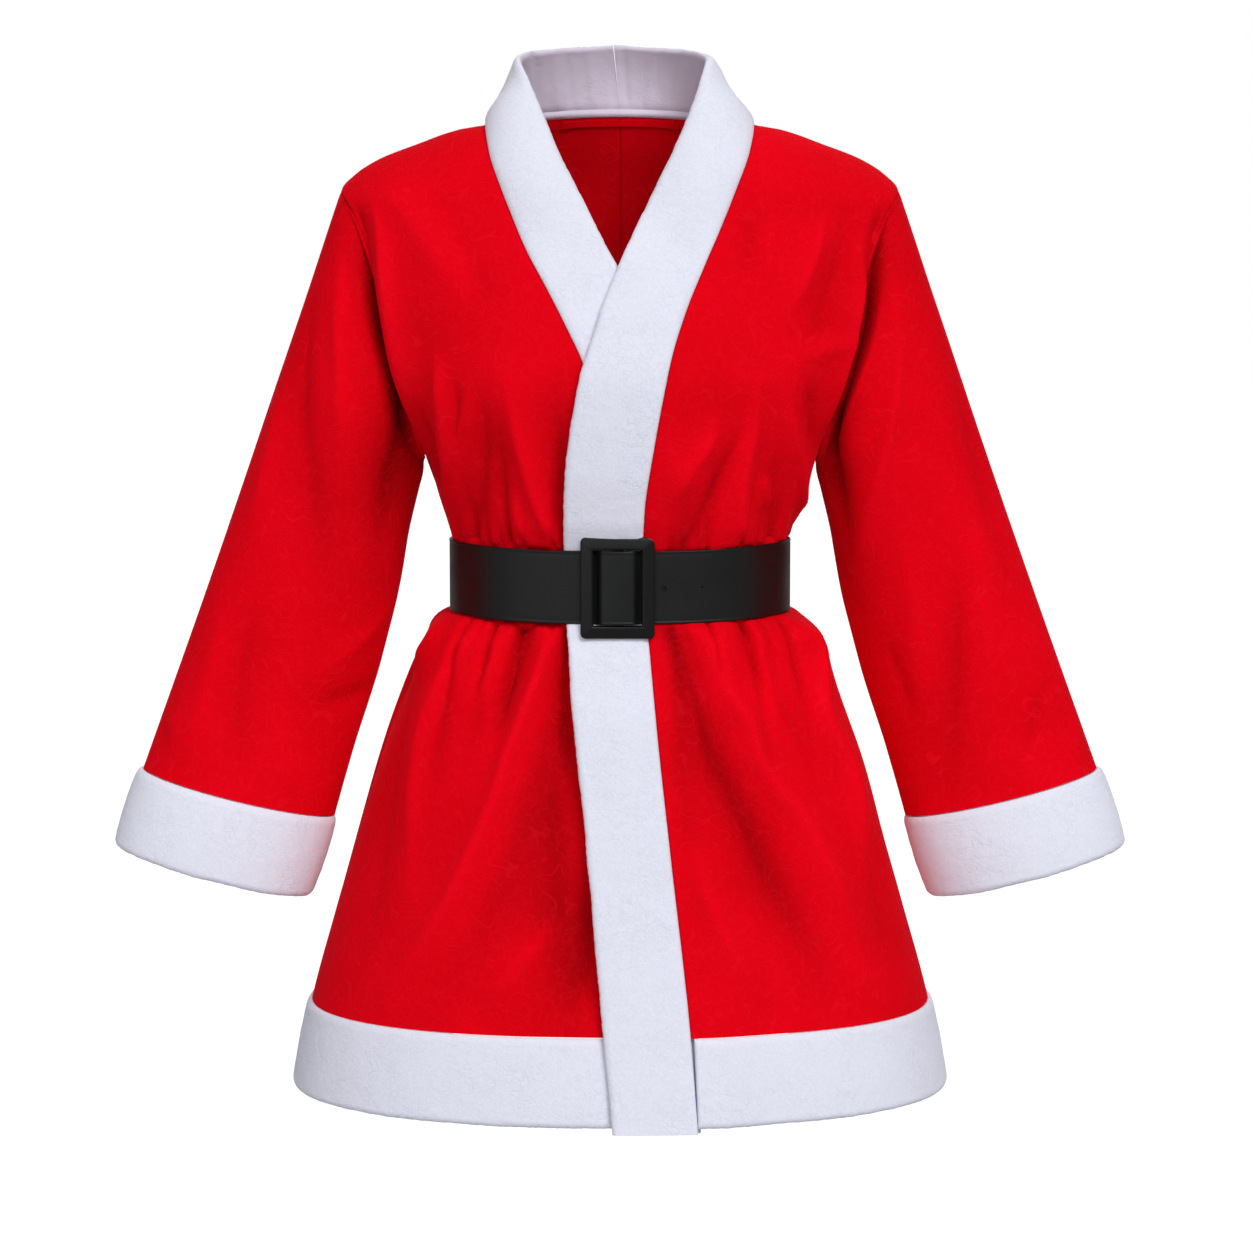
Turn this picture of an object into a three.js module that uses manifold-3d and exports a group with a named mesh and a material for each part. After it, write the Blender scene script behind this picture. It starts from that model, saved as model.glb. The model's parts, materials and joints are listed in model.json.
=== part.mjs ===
// A Christmas costume dress: a knee-length red velour wrap dress with set-in sleeves, white fleece
// bands at the front, neck, cuffs and hem, and a black belt with a slide buckle.
// It keeps the hollow form of a dress that is worn. Millimetres, +Z up, the front faces -Y, and +X is
// the wearer's left. The origin lies between the two neck points, where the shoulders carry it.
// Angles round the body run from 0 at the centre front, through 90 at the side, to 180 at the back.
import * as THREE from "three";
import Module from "manifold-3d";
import { mergeVertices } from "three/addons/utils/BufferGeometryUtils.js";

const wasm = await Module();
wasm.setup();

// Driving dimensions
const VELOUR = 2; // thickness of the red cloth
const FLEECE = 7.5; // thickness of the front band, a doubled fleece strip
const FLEECE_BELTED = 4.6; // the same band where the belt presses it
const HEM_FLEECE = 8; // thickness of the hem band and the cuffs
const SEAM_HALF = 1; // half thickness of a fleece band where it is sewn to the velour
const SEAM_GAP = 0.3;
const LIE_GAP = 0.7; // between one layer and the next that lies on it
const LAPEL_GAP = 0.8; // more than that above the waist, where the layers curve
const ARMHOLE_GAP = 0.75;
const NECK_HALF = 104;
const SHOULDER_Z = -50.7; // the shoulder point, at the top of the armhole
const UNDERARM_Z = -268;
const ARMHOLE_MIDDLE = (SHOULDER_Z + UNDERARM_Z) / 2;
const HEM_SEAM_Z = -695.5;
const HEM_Z = -764;
const BAND_END_Z = -768;
const BELT_TOP_Z = -327;
const BELT_BOTTOM_Z = -383.5;
const BELT_THICK = 2.4;
const BUCKLE = { x: -1.6, z: -355.3, width: 57, height: 78, border: 10, thick: 5.5, corner: 4 };

const velour = new THREE.MeshStandardMaterial({ color: 0xcf0012, roughness: 0.85, metalness: 0 });
const fleece = new THREE.MeshStandardMaterial({ color: 0xf1f1f8, roughness: 0.95, metalness: 0 });
const leatherette = new THREE.MeshStandardMaterial({ color: 0x161718, roughness: 0.45, metalness: 0 });
const plastic = new THREE.MeshStandardMaterial({ color: 0x1c1c1c, roughness: 0.35, metalness: 0 });

// Horizontal sections of the dress and its standing collar, at the middle of the cloth: half width, depth
// in front and behind.
const SECTIONS = [
  { z: 68, half: 69, front: 37, back: 60.5 },
  { z: 50, half: 76, front: 38.5, back: 63 },
  { z: 36, half: 82, front: 41, back: 65.5 },
  { z: 15, half: 95, front: 44, back: 70 },
  { z: 0, half: NECK_HALF, front: 47, back: 74 },
  { z: -4, half: 124.9, front: 49, back: 76 },
  { z: -15.6, half: 158.8, front: 53.5, back: 81 },
  { z: -27.3, half: 188.9, front: 58, back: 86 },
  { z: -39, half: 207.5, front: 63, back: 90.5 },
  { z: SHOULDER_Z, half: 217.8, front: 67, back: 94 },
  { z: -70, half: 207.5, front: 74, back: 98 },
  { z: -116, half: 190.5, front: 92, back: 106 },
  { z: -160, half: 180.5, front: 107, back: 110 },
  { z: -207, half: 169.5, front: 118, back: 108 },
  { z: -265, half: 156.5, front: 117, back: 101 },
  { z: -299.6, half: 144.6, front: 105, back: 98 },
  { z: -312, half: 140, front: 99.4, back: 95.5 },
  { z: BELT_TOP_Z, half: 133, front: 98, back: 93 },
  { z: BELT_BOTTOM_Z, half: 133, front: 98, back: 93 },
  { z: -398, half: 149.8, front: 99.4, back: 104 },
  { z: -420, half: 161.6, front: 110, back: 116 },
  { z: -456, half: 176, front: 122, back: 129 },
  { z: -505, half: 192.4, front: 130, back: 139 },
  { z: -554, half: 207.2, front: 137.5, back: 146 },
  { z: -627, half: 228.5, front: 148, back: 156 },
  { z: HEM_SEAM_Z, half: 247.3, front: 157, back: 164 },
  { z: BAND_END_Z - 4, half: 262.5, front: 166, back: 172 },
];
const CORNER = 2.3; // exponent of the rounded sections
const SHOULDER_ROUND = { neck: 55, tip: 42 }; // radius of the shoulder from front to back
const NECK_RISE = { from: 0.25, more: 0.85, over: 30 }; // how the surface steepens inside the neck point
const COLLAR_FROM_Z = 14; // from here up the collar has plain sections of its own
// How far the armhole opens at each height, as a share of the section's depth.
const ARMHOLE_OPEN = [
  [-268, 0], [-264, 0.1], [-255, 0.17], [-235, 0.265], [-207, 0.345], [-160, 0.415], [-119, 0.462], [-85, 0.505],
  [SHOULDER_Z, 0.52],
];

// The front band's two edges, measured from the centre line to the panel's own side.
// The left front lies over, the right front under it.
const OVER_BAND = {
  seam: [
    [-772, 59.4], [-690, 52.9], [-554, 37.7], [-463, 27.8], [-395, 21.7], [-327, 17.5], [-295, 18.6], [-249, 25.3],
    [-204, 33.7], [-173, 41.3], [-143, 51.3], [-113, 63.7], [-83, 77], [-52, 89.6], [-21, 100.8], [-5, 103.7],
    [0, NECK_HALF],
  ],
  edge: [
    [-772, -5], [-690, -12.7], [-554, -25], [-418, -38.1], [-327, -42], [-265, -40], [-204, -31.6], [-158, -18],
    [-113, -1.3], [-52, 26.4], [-5.6, 48.6], [20, 60.5], [36, 66.5],
  ],
};
const UNDER_BAND = {
  seam: [
    [-772, 0], [-695, 2], [-500, 8], [-383, 10], [-327, 10], [-250, 14], [-205, 21], [-182, 28.6], [-158, 40],
    [-128, 55.5], [-98, 71.8], [-67, 85], [-52, 91], [-21, 101.5], [-5, 103.8], [0, NECK_HALF],
  ],
  edge: [
    [-772, -62], [-695, -60], [-500, -54], [-383, -52], [-327, -52], [-250, -48], [-205, -41], [-182, -33],
    [-143, -16], [-111.7, 0.5], [-83, 16.6], [-52, 32.1], [-5.6, 54.5], [20, 62.5], [36, 66.5],
  ],
};
// How much higher the free edge is than the seam, across the band, at a height of the seam.
const BAND_RISE = [[-772, 0], [-285, 0], [-230, 8], [-190, 14], [-112, 18], [-52, 18], [-27, 17.5], [-10, 21], [0, 36]];
// Height of the collar's free edge, from where the lapel ends, at 0, to the centre back, at 1.
const COLLAR_TOP = [[0, 36], [0.1, 45], [0.2, 50.5], [0.3, 53.5], [0.5, 58.5], [0.75, 63.5], [1, 66]];
const BACK_NECK_RISE = 9;
const COLLAR_BOW = 4.5; // the band bows out between its two edges
const COLLAR_SHIFT = -5; // the collar's top stands this much to the wearer's right

// Gathers that the belt draws in, as troughs. "at" runs from 0 at the panel's front or centre seam to 1 at
// its side seam. Depths and reaches are below and above the belt.
const GATHERS = {
  front_left: [
    { at: 0.09, below: 2.6, reach: 45, above: 3.0, rise: 50 },
    { at: 0.14, below: 4.6, reach: 110, above: 2.0, rise: 30 },
    { at: 0.2, below: 2.4, reach: 40, above: 3.2, rise: 75 },
    { at: 0.32, below: 4.0, reach: 95, above: 2.6, rise: 45 },
    { at: 0.39, below: 3.2, reach: 70, above: 3.4, rise: 80 },
    { at: 0.54, below: 3.6, reach: 120, above: 3.4, rise: 60 },
    { at: 0.66, below: 3.2, reach: 60, above: 2.6, rise: 45 },
    { at: 0.78, below: 3.4, reach: 90, above: 3.0, rise: 55 },
    { at: 0.9, below: 3.0, reach: 60, above: 2.4, rise: 35 },
  ],
  front_right: [
    { at: 0.22, below: 3.4, reach: 60, above: 3.4, rise: 60 },
    { at: 0.3, below: 3.0, reach: 45, above: 2.0, rise: 30 },
    { at: 0.41, below: 3.8, reach: 110, above: 3.6, rise: 70 },
    { at: 0.52, below: 3.4, reach: 60, above: 2.6, rise: 45 },
    { at: 0.62, below: 3.8, reach: 90, above: 3.4, rise: 85 },
    { at: 0.72, below: 3.0, reach: 50, above: 2.8, rise: 40 },
    { at: 0.83, below: 3.4, reach: 100, above: 3.0, rise: 55 },
    { at: 0.92, below: 2.8, reach: 50, above: 2.4, rise: 35 },
  ],
  back: [
    { at: 0.12, below: 3.4, reach: 80, above: 3.0, rise: 60 },
    { at: 0.27, below: 4.0, reach: 120, above: 3.4, rise: 50 },
    { at: 0.42, below: 3.2, reach: 60, above: 3.0, rise: 75 },
    { at: 0.57, below: 4.0, reach: 130, above: 3.4, rise: 60 },
    { at: 0.72, below: 3.2, reach: 70, above: 2.8, rise: 45 },
    { at: 0.87, below: 3.4, reach: 90, above: 2.6, rise: 50 },
  ],
};
const GATHER_WIDTH = 0.028; // of the panel's width
const GATHER_FULL = 9; // a gather reaches its depth this far from the belt

// The largest soft folds of the body, seen from the front or the back: a ridge where height is above 0,
// a trough where it is below. x is measured to the panel's own side.
const BODY_FOLDS = {
  front_left: [
    { x0: 196, z0: -70, x1: 168, z1: -215, width: 13, height: 3.5 },
    { x0: 176, z0: -62, x1: 150, z1: -190, width: 12, height: -3 },
    { x0: 60, z0: -312, x1: 122, z1: -205, width: 15, height: 3 },
    { x0: 95, z0: -318, x1: 128, z1: -240, width: 12, height: 2.5 },
    { x0: 108, z0: -410, x1: 176, z1: -640, width: 26, height: 5 },
    { x0: 62, z0: -420, x1: 96, z1: -690, width: 30, height: -4 },
    { x0: 150, z0: -470, x1: 226, z1: -690, width: 20, height: -3.5 },
  ],
  front_right: [
    { x0: 194, z0: -70, x1: 166, z1: -215, width: 13, height: 3.5 },
    { x0: 174, z0: -62, x1: 148, z1: -200, width: 12, height: -3 },
    { x0: 112, z0: -318, x1: 124, z1: -215, width: 13, height: 3 },
    { x0: 60, z0: -315, x1: 80, z1: -235, width: 14, height: -2.5 },
    { x0: 122, z0: -410, x1: 196, z1: -660, width: 26, height: 5 },
    { x0: 88, z0: -410, x1: 120, z1: -690, width: 24, height: -4 },
    { x0: 62, z0: -420, x1: 66, z1: -690, width: 20, height: 3 },
  ],
  back: [
    { x0: 190, z0: -72, x1: 160, z1: -225, width: 14, height: 3.5 },
    { x0: 150, z0: -70, x1: 120, z1: -250, width: 22, height: -3 },
    { x0: 70, z0: -312, x1: 96, z1: -190, width: 18, height: 3.5 },
    { x0: 55, z0: -410, x1: 84, z1: -690, width: 26, height: 6 },
    { x0: 104, z0: -420, x1: 160, z1: -690, width: 26, height: -5 },
    { x0: 132, z0: -410, x1: 212, z1: -690, width: 24, height: 5 },
  ],
};

// The sleeve, along its outer and inner edge: lengths from the armhole, half depth in front and behind,
// and how far the arm carries it backwards.
const SLEEVE_OUTER = [[217.8, SHOULDER_Z], [378.5, -507]];
const SLEEVE_INNER = [[156, UNDERARM_Z], [228.5, -545]];
const SLEEVE = [
  { outer: 0, inner: 0, front: 44, back: 46, shift: 0 },
  { outer: 26, inner: 5, front: 47, back: 54, shift: 0 },
  { outer: 60, inner: 10, front: 51, back: 57, shift: 0 },
  { outer: 100, inner: 17, front: 54, back: 59, shift: 1 },
  { outer: 145, inner: 27, front: 56, back: 60, shift: 2 },
  { outer: 190, inner: 44, front: 56, back: 59, shift: 3 },
  { outer: 236, inner: 72, front: 55, back: 57, shift: 4 },
  { outer: 284, inner: 108, front: 54, back: 55, shift: 3 },
  { outer: 332, inner: 150, front: 53, back: 53, shift: 0 },
  { outer: 376, inner: 190, front: 52, back: 51, shift: -5 },
  { outer: 416, inner: 226, front: 51, back: 49, shift: -11 },
  { outer: 450, inner: 257, front: 50, back: 48, shift: -17 },
  { outer: 483.8, inner: 286.4, front: 49, back: 47, shift: -22 },
];
const SLEEVE_COLUMNS = 22; // the armhole's rows of the body follow from these
const ARMHOLE_FADE = 90; // the armhole's own shape is gone this far down the outer edge
// Soft lengthwise folds of a sleeve: angle round it from the outer edge through the front, and where they
// start, are fullest and end along it, from 0 to 1.
const SLEEVE_FOLDS = [
  { angle: 128, lean: 10, from: 0.02, to: 0.75, width: 16, height: -4.5 },
  { angle: 98, lean: 16, from: 0.1, to: 0.9, width: 15, height: 3.5 },
  { angle: 52, lean: -8, from: 0.05, to: 0.7, width: 17, height: 3 },
  { angle: 74, lean: 4, from: 0.3, to: 1, width: 13, height: -2.5 },
  { angle: 236, lean: -6, from: 0.02, to: 0.8, width: 18, height: -4 },
  { angle: 292, lean: 8, from: 0.15, to: 0.95, width: 18, height: 3.5 },
];
const CUFF = { length: 64, outX: 2, outer: [399.5, -568], inner: [250.5, -608.5], front: 52, back: 50, shift: -26 };

// A smooth curve through a table's points that doesn't overshoot them.
function curveThrough(points) {
  const p = [...points].sort((a, b) => a[0] - b[0]);
  const slope = p.slice(1).map((q, i) => (q[1] - p[i][1]) / (q[0] - p[i][0]));
  const tangent = p.map((_, i) => {
    if (i === 0) return slope[0];
    if (i === p.length - 1) return slope[i - 1];
    const [a, b] = [slope[i - 1], slope[i]];
    if (a * b <= 0) return 0;
    const [u, v] = [p[i][0] - p[i - 1][0], p[i + 1][0] - p[i][0]];
    return (3 * (u + v)) / ((2 * v + u) / a + (v + 2 * u) / b);
  });
  return (x) => {
    const at = Math.min(Math.max(x, p[0][0]), p[p.length - 1][0]);
    let i = 0;
    while (i < p.length - 2 && at > p[i + 1][0]) i += 1;
    const h = p[i + 1][0] - p[i][0];
    const t = (at - p[i][0]) / h;
    return (
      p[i][1] * (1 + 2 * t) * (1 - t) ** 2 +
      tangent[i] * h * t * (1 - t) ** 2 +
      p[i + 1][1] * t * t * (3 - 2 * t) +
      tangent[i + 1] * h * t * t * (t - 1)
    );
  };
}
const column = (name) => curveThrough(SECTIONS.map((row) => [row.z, row[name]]));
const halfAt = column("half");
const frontAt = column("front");
const backAt = column("back");
const smooth = (from, to, x) => {
  const t = Math.min(Math.max((x - from) / (to - from), 0), 1);
  return t * t * (3 - 2 * t);
};
const radians = (degrees) => (degrees * Math.PI) / 180;
const degrees = (angle) => (angle * 180) / Math.PI;

// The height of the shoulder line over a place at x. Inside the neck point it goes on rising.
function shoulderLineAt(x) {
  const inside = NECK_HALF - x;
  if (inside >= 0) return inside * (NECK_RISE.from + (NECK_RISE.more * inside) / (inside + NECK_RISE.over));
  let [low, high] = [SHOULDER_Z, 0];
  for (let i = 0; i < 44; i += 1) {
    const middle = (low + high) / 2;
    if (halfAt(middle) > x) low = middle;
    else high = middle;
  }
  return (low + high) / 2;
}

// A point of the plain body at an angle and height. The section is a rounded oval. Between the underarm
// and the shoulder it is cut off at the armhole, and above that it closes along the shoulder line.
const armholeOpen = curveThrough(ARMHOLE_OPEN);
const ovalAt = (turn) => {
  const [s, c] = [Math.sin(radians(turn)), Math.cos(radians(turn))];
  const r = (Math.abs(s) ** CORNER + Math.abs(c) ** CORNER) ** (-1 / CORNER);
  return { width: s * r, depth: c * r };
};
function ovalTurn(width) {
  if (width >= 1) return 90;
  const q = width ** CORNER;
  return degrees(Math.atan((q / (1 - q)) ** (1 / CORNER)));
}
const SHOULDER_HALF = halfAt(SHOULDER_Z) / (1 - armholeOpen(SHOULDER_Z) ** CORNER) ** (1 / CORNER);
function wholeHalf(z) {
  if (z < SHOULDER_Z) return halfAt(z) / (1 - armholeOpen(z) ** CORNER) ** (1 / CORNER);
  return SHOULDER_HALF + (halfAt(z) - SHOULDER_HALF) * smooth(0, COLLAR_FROM_Z, z);
}
function plainBody(angle, z) {
  const wrapped = angle > 180 ? angle - 360 : angle;
  const behind = Math.abs(wrapped) > 90;
  const fromMiddle = behind ? 180 - Math.abs(wrapped) : Math.abs(wrapped);
  const whole = wholeHalf(z);
  const oval = ovalAt((fromMiddle * ovalTurn(halfAt(z) / whole)) / 90);
  const away = whole * oval.width;
  let depth = oval.depth;
  if (z > UNDERARM_Z && z < COLLAR_FROM_Z) {
    const round = SHOULDER_ROUND.neck + (SHOULDER_ROUND.tip - SHOULDER_ROUND.neck) * smooth(NECK_HALF, 200, away);
    const drop = Math.min(Math.max((shoulderLineAt(away) - z) / round, 0), 1);
    const closing = Math.sqrt(1 - (1 - drop) ** 2);
    depth *= closing + (1 - closing) * smooth(0, COLLAR_FROM_Z, z);
  }
  return new THREE.Vector3(Math.sign(wrapped) * away, behind ? backAt(z) * depth : -frontAt(z) * depth, z);
}
const FRONT_SIDE = 90; // the angle of the side line, reached from the front
const BACK_SIDE = 90 + 1e-6; // and from behind

// The outward direction of the plain body there. At the side line it is taken from its own side.
function outward(angle, z) {
  const [s, c] = [Math.sin(radians(angle)), Math.cos(radians(angle))];
  const bySide = Math.abs(c) < 0.01 ? Math.sign(s) * (c >= 0 ? -0.4 : 0.4) : 0;
  const top = z > -1.5 && z < 1.5 ? Math.min(z, -0.2) : z + 0.5;
  const along = plainBody(angle + bySide + 0.4, z).sub(plainBody(angle + bySide - 0.4, z));
  const up = plainBody(angle, top).sub(plainBody(angle, top - 1));
  return along.cross(up).normalize();
}
function angleAtX(x, z) {
  const whole = wholeHalf(z);
  const share = ovalTurn(Math.abs(x) / whole) / ovalTurn(halfAt(z) / whole);
  return 90 * Math.min(share, 1) * Math.sign(x);
}

// How far gathers and soft folds move a panel's point outwards.
function gathering(list, at, z) {
  if (z < BELT_TOP_Z && z > BELT_BOTTOM_Z) return 0;
  const below = z <= BELT_BOTTOM_Z;
  const away = below ? BELT_BOTTOM_Z - z : z - BELT_TOP_Z;
  return list.reduce((sum, g) => {
    const [depth, reach] = below ? [g.below, g.reach] : [g.above, g.rise];
    const width = GATHER_WIDTH * (1 + away / reach);
    const fade = Math.exp(-((away / reach) ** 1.5)) * smooth(0, GATHER_FULL, away);
    return sum - depth * fade * Math.exp(-(((at - g.at) / width) ** 2));
  }, 0);
}
function folding(list, x, z) {
  const fromBelt = Math.max(z - BELT_TOP_Z, BELT_BOTTOM_Z - z, 0);
  return smooth(0, 22, fromBelt) * list.reduce((sum, f) => {
    const [dx, dz] = [f.x1 - f.x0, f.z1 - f.z0];
    const along = ((x - f.x0) * dx + (z - f.z0) * dz) / (dx * dx + dz * dz);
    const t = Math.min(Math.max(along, 0), 1);
    const away = Math.hypot(x - f.x0 - t * dx, z - f.z0 - t * dz) / f.width;
    return sum + f.height * Math.exp(-away * away) * Math.sin(Math.PI * (0.12 + 0.76 * t));
  }, 0);
}

// The layers of the wrap: how thick the band is at a height, and how far the over front is lifted off the
// body by the under front.
function bandThickness(z) {
  const belted = smooth(BELT_BOTTOM_Z - 32, BELT_BOTTOM_Z - 14, z) * (1 - smooth(BELT_TOP_Z + 12, BELT_TOP_Z + 30, z));
  return FLEECE + (FLEECE_BELTED - FLEECE) * belted;
}
const underEdgeAt = curveThrough(UNDER_BAND.edge);
const LIFT_END = { from: -108, to: -52 }; // above the crossing of the two bands the lift dies away
const LIFT_SIDE = { from: 6, to: 62 }; // beyond the under band's edge too
function overLift(x, z) {
  const hem = (HEM_FLEECE - FLEECE) * (1 - smooth(HEM_SEAM_Z, HEM_SEAM_Z + 40, z));
  const full = bandThickness(z) + LIE_GAP + LAPEL_GAP * smooth(-310, -270, z) + hem;
  const edge = -underEdgeAt(z);
  return full * (1 - smooth(LIFT_END.from, LIFT_END.to, z)) * (1 - smooth(edge + LIFT_SIDE.from, edge + LIFT_SIDE.to, x));
}
// Gathers over the hidden under band stand out from it, where elsewhere they sink in.
const COVERED = { below: 4.6, reach: 95, above: 3.4, rise: 60 };
function coverLift(x, z) {
  const edge = -underEdgeAt(z);
  const covered = 1 - smooth(edge + LIFT_SIDE.from, edge + LIFT_SIDE.to, x);
  const below = z <= BELT_BOTTOM_Z;
  const away = Math.max(below ? BELT_BOTTOM_Z - z : z - BELT_TOP_Z, 0);
  const [height, reach] = below ? [COVERED.below, COVERED.reach] : [COVERED.above, COVERED.rise];
  return height * covered * Math.exp(-((away / reach) ** 1.5)) * smooth(0, GATHER_FULL, away);
}
function onBody(x, z, over) {
  const angle = angleAtX(x, z);
  return plainBody(angle, z).addScaledVector(outward(angle, z), over ? overLift(x, z) : 0);
}

// A closed solid from an outer and an inner grid of points that share their rows and columns.
function closedSolid(outer, inner, loop) {
  const rows = outer.length;
  const columns = outer[0].length;
  const positions = [];
  [outer, inner].forEach((grid) => grid.forEach((row) => row.forEach((p) => positions.push(p.x, p.y, p.z))));
  const at = (side, i, j) => (side * rows + i) * columns + (j % columns);
  const faces = [];
  const quad = (a, b, c, d) => faces.push(a, b, c, a, c, d);
  const across = loop ? columns : columns - 1;
  for (let i = 0; i < rows - 1; i += 1) {
    for (let j = 0; j < across; j += 1) {
      quad(at(0, i, j), at(0, i, j + 1), at(0, i + 1, j + 1), at(0, i + 1, j));
      quad(at(1, i, j), at(1, i + 1, j), at(1, i + 1, j + 1), at(1, i, j + 1));
    }
    if (!loop) {
      quad(at(0, i, 0), at(0, i + 1, 0), at(1, i + 1, 0), at(1, i, 0));
      const last = columns - 1;
      quad(at(0, i, last), at(1, i, last), at(1, i + 1, last), at(0, i + 1, last));
    }
  }
  for (let j = 0; j < across; j += 1) {
    quad(at(0, 0, j), at(1, 0, j), at(1, 0, j + 1), at(0, 0, j + 1));
    const top = rows - 1;
    quad(at(0, top, j), at(0, top, j + 1), at(1, top, j + 1), at(1, top, j));
  }
  return facingOut(positions, faces);
}
function facingOut(positions, faces) {
  const corner = (i) => new THREE.Vector3().fromArray(positions, faces[i] * 3);
  let volume = 0;
  for (let i = 0; i < faces.length; i += 3) volume += corner(i).dot(corner(i + 1).cross(corner(i + 2)));
  if (volume < 0) faces.reverse();
  const geometry = new THREE.BufferGeometry();
  geometry.setAttribute("position", new THREE.Float32BufferAttribute(positions, 3));
  geometry.setIndex(faces);
  return geometry;
}

// A cloth wall about a grid of middle points, with a normal for each.
function clothWall(points, normals, thickness, loop = false) {
  const moved = (by) => points.map((row, i) => row.map((p, j) => p.clone().addScaledVector(normals[i][j], by)));
  return closedSolid(moved(thickness / 2), moved(-thickness / 2), loop);
}
// Draws a grid's four borders in, so that two pieces that are sewn stay a seam apart.
function drawIn(grid, by) {
  const pull = (p, q) => p.clone().addScaledVector(q.clone().sub(p).normalize(), by);
  const last = grid[0].length - 1;
  const rows = grid.map((row) =>
    row.map((p, j) => (j === 0 ? pull(p, row[1]) : j === last ? pull(p, row[last - 1]) : p)),
  );
  const top = rows.length - 1;
  return rows.map((row, i) =>
    row.map((p, j) => (i === 0 ? pull(p, rows[1][j]) : i === top ? pull(p, rows[top - 1][j]) : p)),
  );
}
// Normals of a grid that faces away from a point inside each row.
function gridNormals(grid, insideOf, loop) {
  const [rows, columns] = [grid.length, grid[0].length];
  return grid.map((row, i) =>
    row.map((p, j) => {
      const before = loop ? (j + columns - 1) % columns : Math.max(j - 1, 0);
      const after = loop ? (j + 1) % columns : Math.min(j + 1, columns - 1);
      const along = row[after].clone().sub(row[before]);
      const up = grid[Math.min(i + 1, rows - 1)][j].clone().sub(grid[Math.max(i - 1, 0)][j]);
      const normal = along.cross(up).normalize();
      return normal.dot(p.clone().sub(insideOf(i))) < 0 ? normal.negate() : normal;
    }),
  );
}
function mirrored(geometry) {
  const copy = geometry.clone();
  const position = copy.getAttribute("position");
  for (let i = 0; i < position.count; i += 1) position.setX(i, -position.getX(i));
  const index = copy.getIndex().array;
  for (let i = 0; i < index.length; i += 3) [index[i + 1], index[i + 2]] = [index[i + 2], index[i + 1]];
  return copy;
}

const neckSeamZ = (angle) => BACK_NECK_RISE * Math.sin(radians(Math.abs(angle) - 90)) ** 2;
const NECK_ROWS_Z = -9; // above this the back's rows follow the neck seam

// The velour panels. Each is made on the +X side, and the right-hand ones are mirrored.
const ARMHOLE_ROWS = Array.from(
  { length: SLEEVE_COLUMNS / 2 - 1 },
  (_, i) => ARMHOLE_MIDDLE - (SHOULDER_Z - ARMHOLE_MIDDLE) * Math.cos((2 * Math.PI * (i + 1)) / SLEEVE_COLUMNS),
);
const PANEL_ROWS = [
  HEM_SEAM_Z, -655, -600, -545, -495, -455, -430, -412, -399, -390, BELT_BOTTOM_Z, -355, BELT_TOP_Z, -318, -306, -288,
  UNDERARM_Z, ...ARMHOLE_ROWS, SHOULDER_Z, -35, -20, -9, -2,
];
function gatherColumns(list) {
  const troughs = list.map((g) => g.at);
  const all = [0, ...troughs, 1];
  const between = all.slice(1).map((at, i) => (at + all[i]) / 2);
  return [...all, ...between].sort((a, b) => a - b);
}
function panel(name, startAngle, sideAngle, rowHeights, options = {}) {
  const gathers = GATHERS[name] ?? GATHERS.back;
  const folds = BODY_FOLDS[name] ?? BODY_FOLDS.back;
  const shares = gatherColumns(gathers);
  const plainNormals = [];
  const grid = rowHeights.map((z) => {
    const from = startAngle(z);
    plainNormals.push([]);
    return shares.map((share) => {
      const angle = from + (sideAngle - from) * share;
      const height = options.neck && z > NECK_ROWS_Z ? z + neckSeamZ(angle) * (1 - z / NECK_ROWS_Z) : z;
      const plain = plainBody(angle, height);
      const soft = Math.sin(Math.PI * Math.min(share * 4, (1 - share) * 4, 0.5));
      const fold = folding(folds, plain.x, height) * soft;
      const lift = options.over ? overLift(plain.x, height) : 0;
      const cover = options.over ? coverLift(plain.x, height) : 0;
      const away = (gathering(gathers, share, height) + cover) * soft + fold + lift;
      const normal = outward(angle, height);
      plainNormals[plainNormals.length - 1].push(normal);
      return plain.addScaledVector(normal, away);
    });
  });
  const edged = drawIn(grid, SEAM_GAP / 2);
  const normals = gridNormals(edged, (i) => new THREE.Vector3(0, 0, rowHeights[i] - 30), false);
  const last = shares.length - 1;
  const top = rowHeights.length - 1;
  const seamed = normals.map((row, i) =>
    row.map((normal, j) => (i === 0 || i === top || j === 0 || j === last ? plainNormals[i][j] : normal)),
  );
  return clothWall(edged, seamed, VELOUR);
}
const seamAngle = (table) => {
  const seam = curveThrough(table.seam);
  return (z) => angleAtX(seam(z) + SEAM_GAP, z);
};

const frontLeft = panel("front_left", seamAngle(OVER_BAND), FRONT_SIDE, PANEL_ROWS, { over: true });
const frontRight = mirrored(panel("front_right", seamAngle(UNDER_BAND), FRONT_SIDE, PANEL_ROWS));
const backLeft = panel("back", () => 180, BACK_SIDE, [...PANEL_ROWS, 0], { neck: true });
const backRight = mirrored(backLeft);

// A strip with a thick rounded section between two edges: sewn along the first, free along the second.
// The section is given across the strip in millimetres from each edge and as a share of half the thickness.
const SEWN_END = [[0, SEAM_HALF / (FLEECE / 2)], [3, 0.8], [9, 1]];
const FREE_END = [[9, 1], [2.4, 0.86], [0.3, 0.36]];
function stripRing(path, width, normal, thickness) {
  const across = [
    ...SEWN_END.map(([mm, share]) => [mm / width, share]),
    ...FREE_END.map(([mm, share]) => [1 - mm / width, share]),
  ];
  const point = ([at, share], side) => path(at).addScaledVector(normal, (side * share * thickness) / 2);
  return [...across.map((p) => point(p, 1)), ...across.reverse().map((p) => point(p, -1))];
}
function bowedPath(sewn, free, normal, bow) {
  return (at) => sewn.clone().lerp(free, at).addScaledVector(normal, bow * 4 * at * (1 - at));
}
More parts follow.
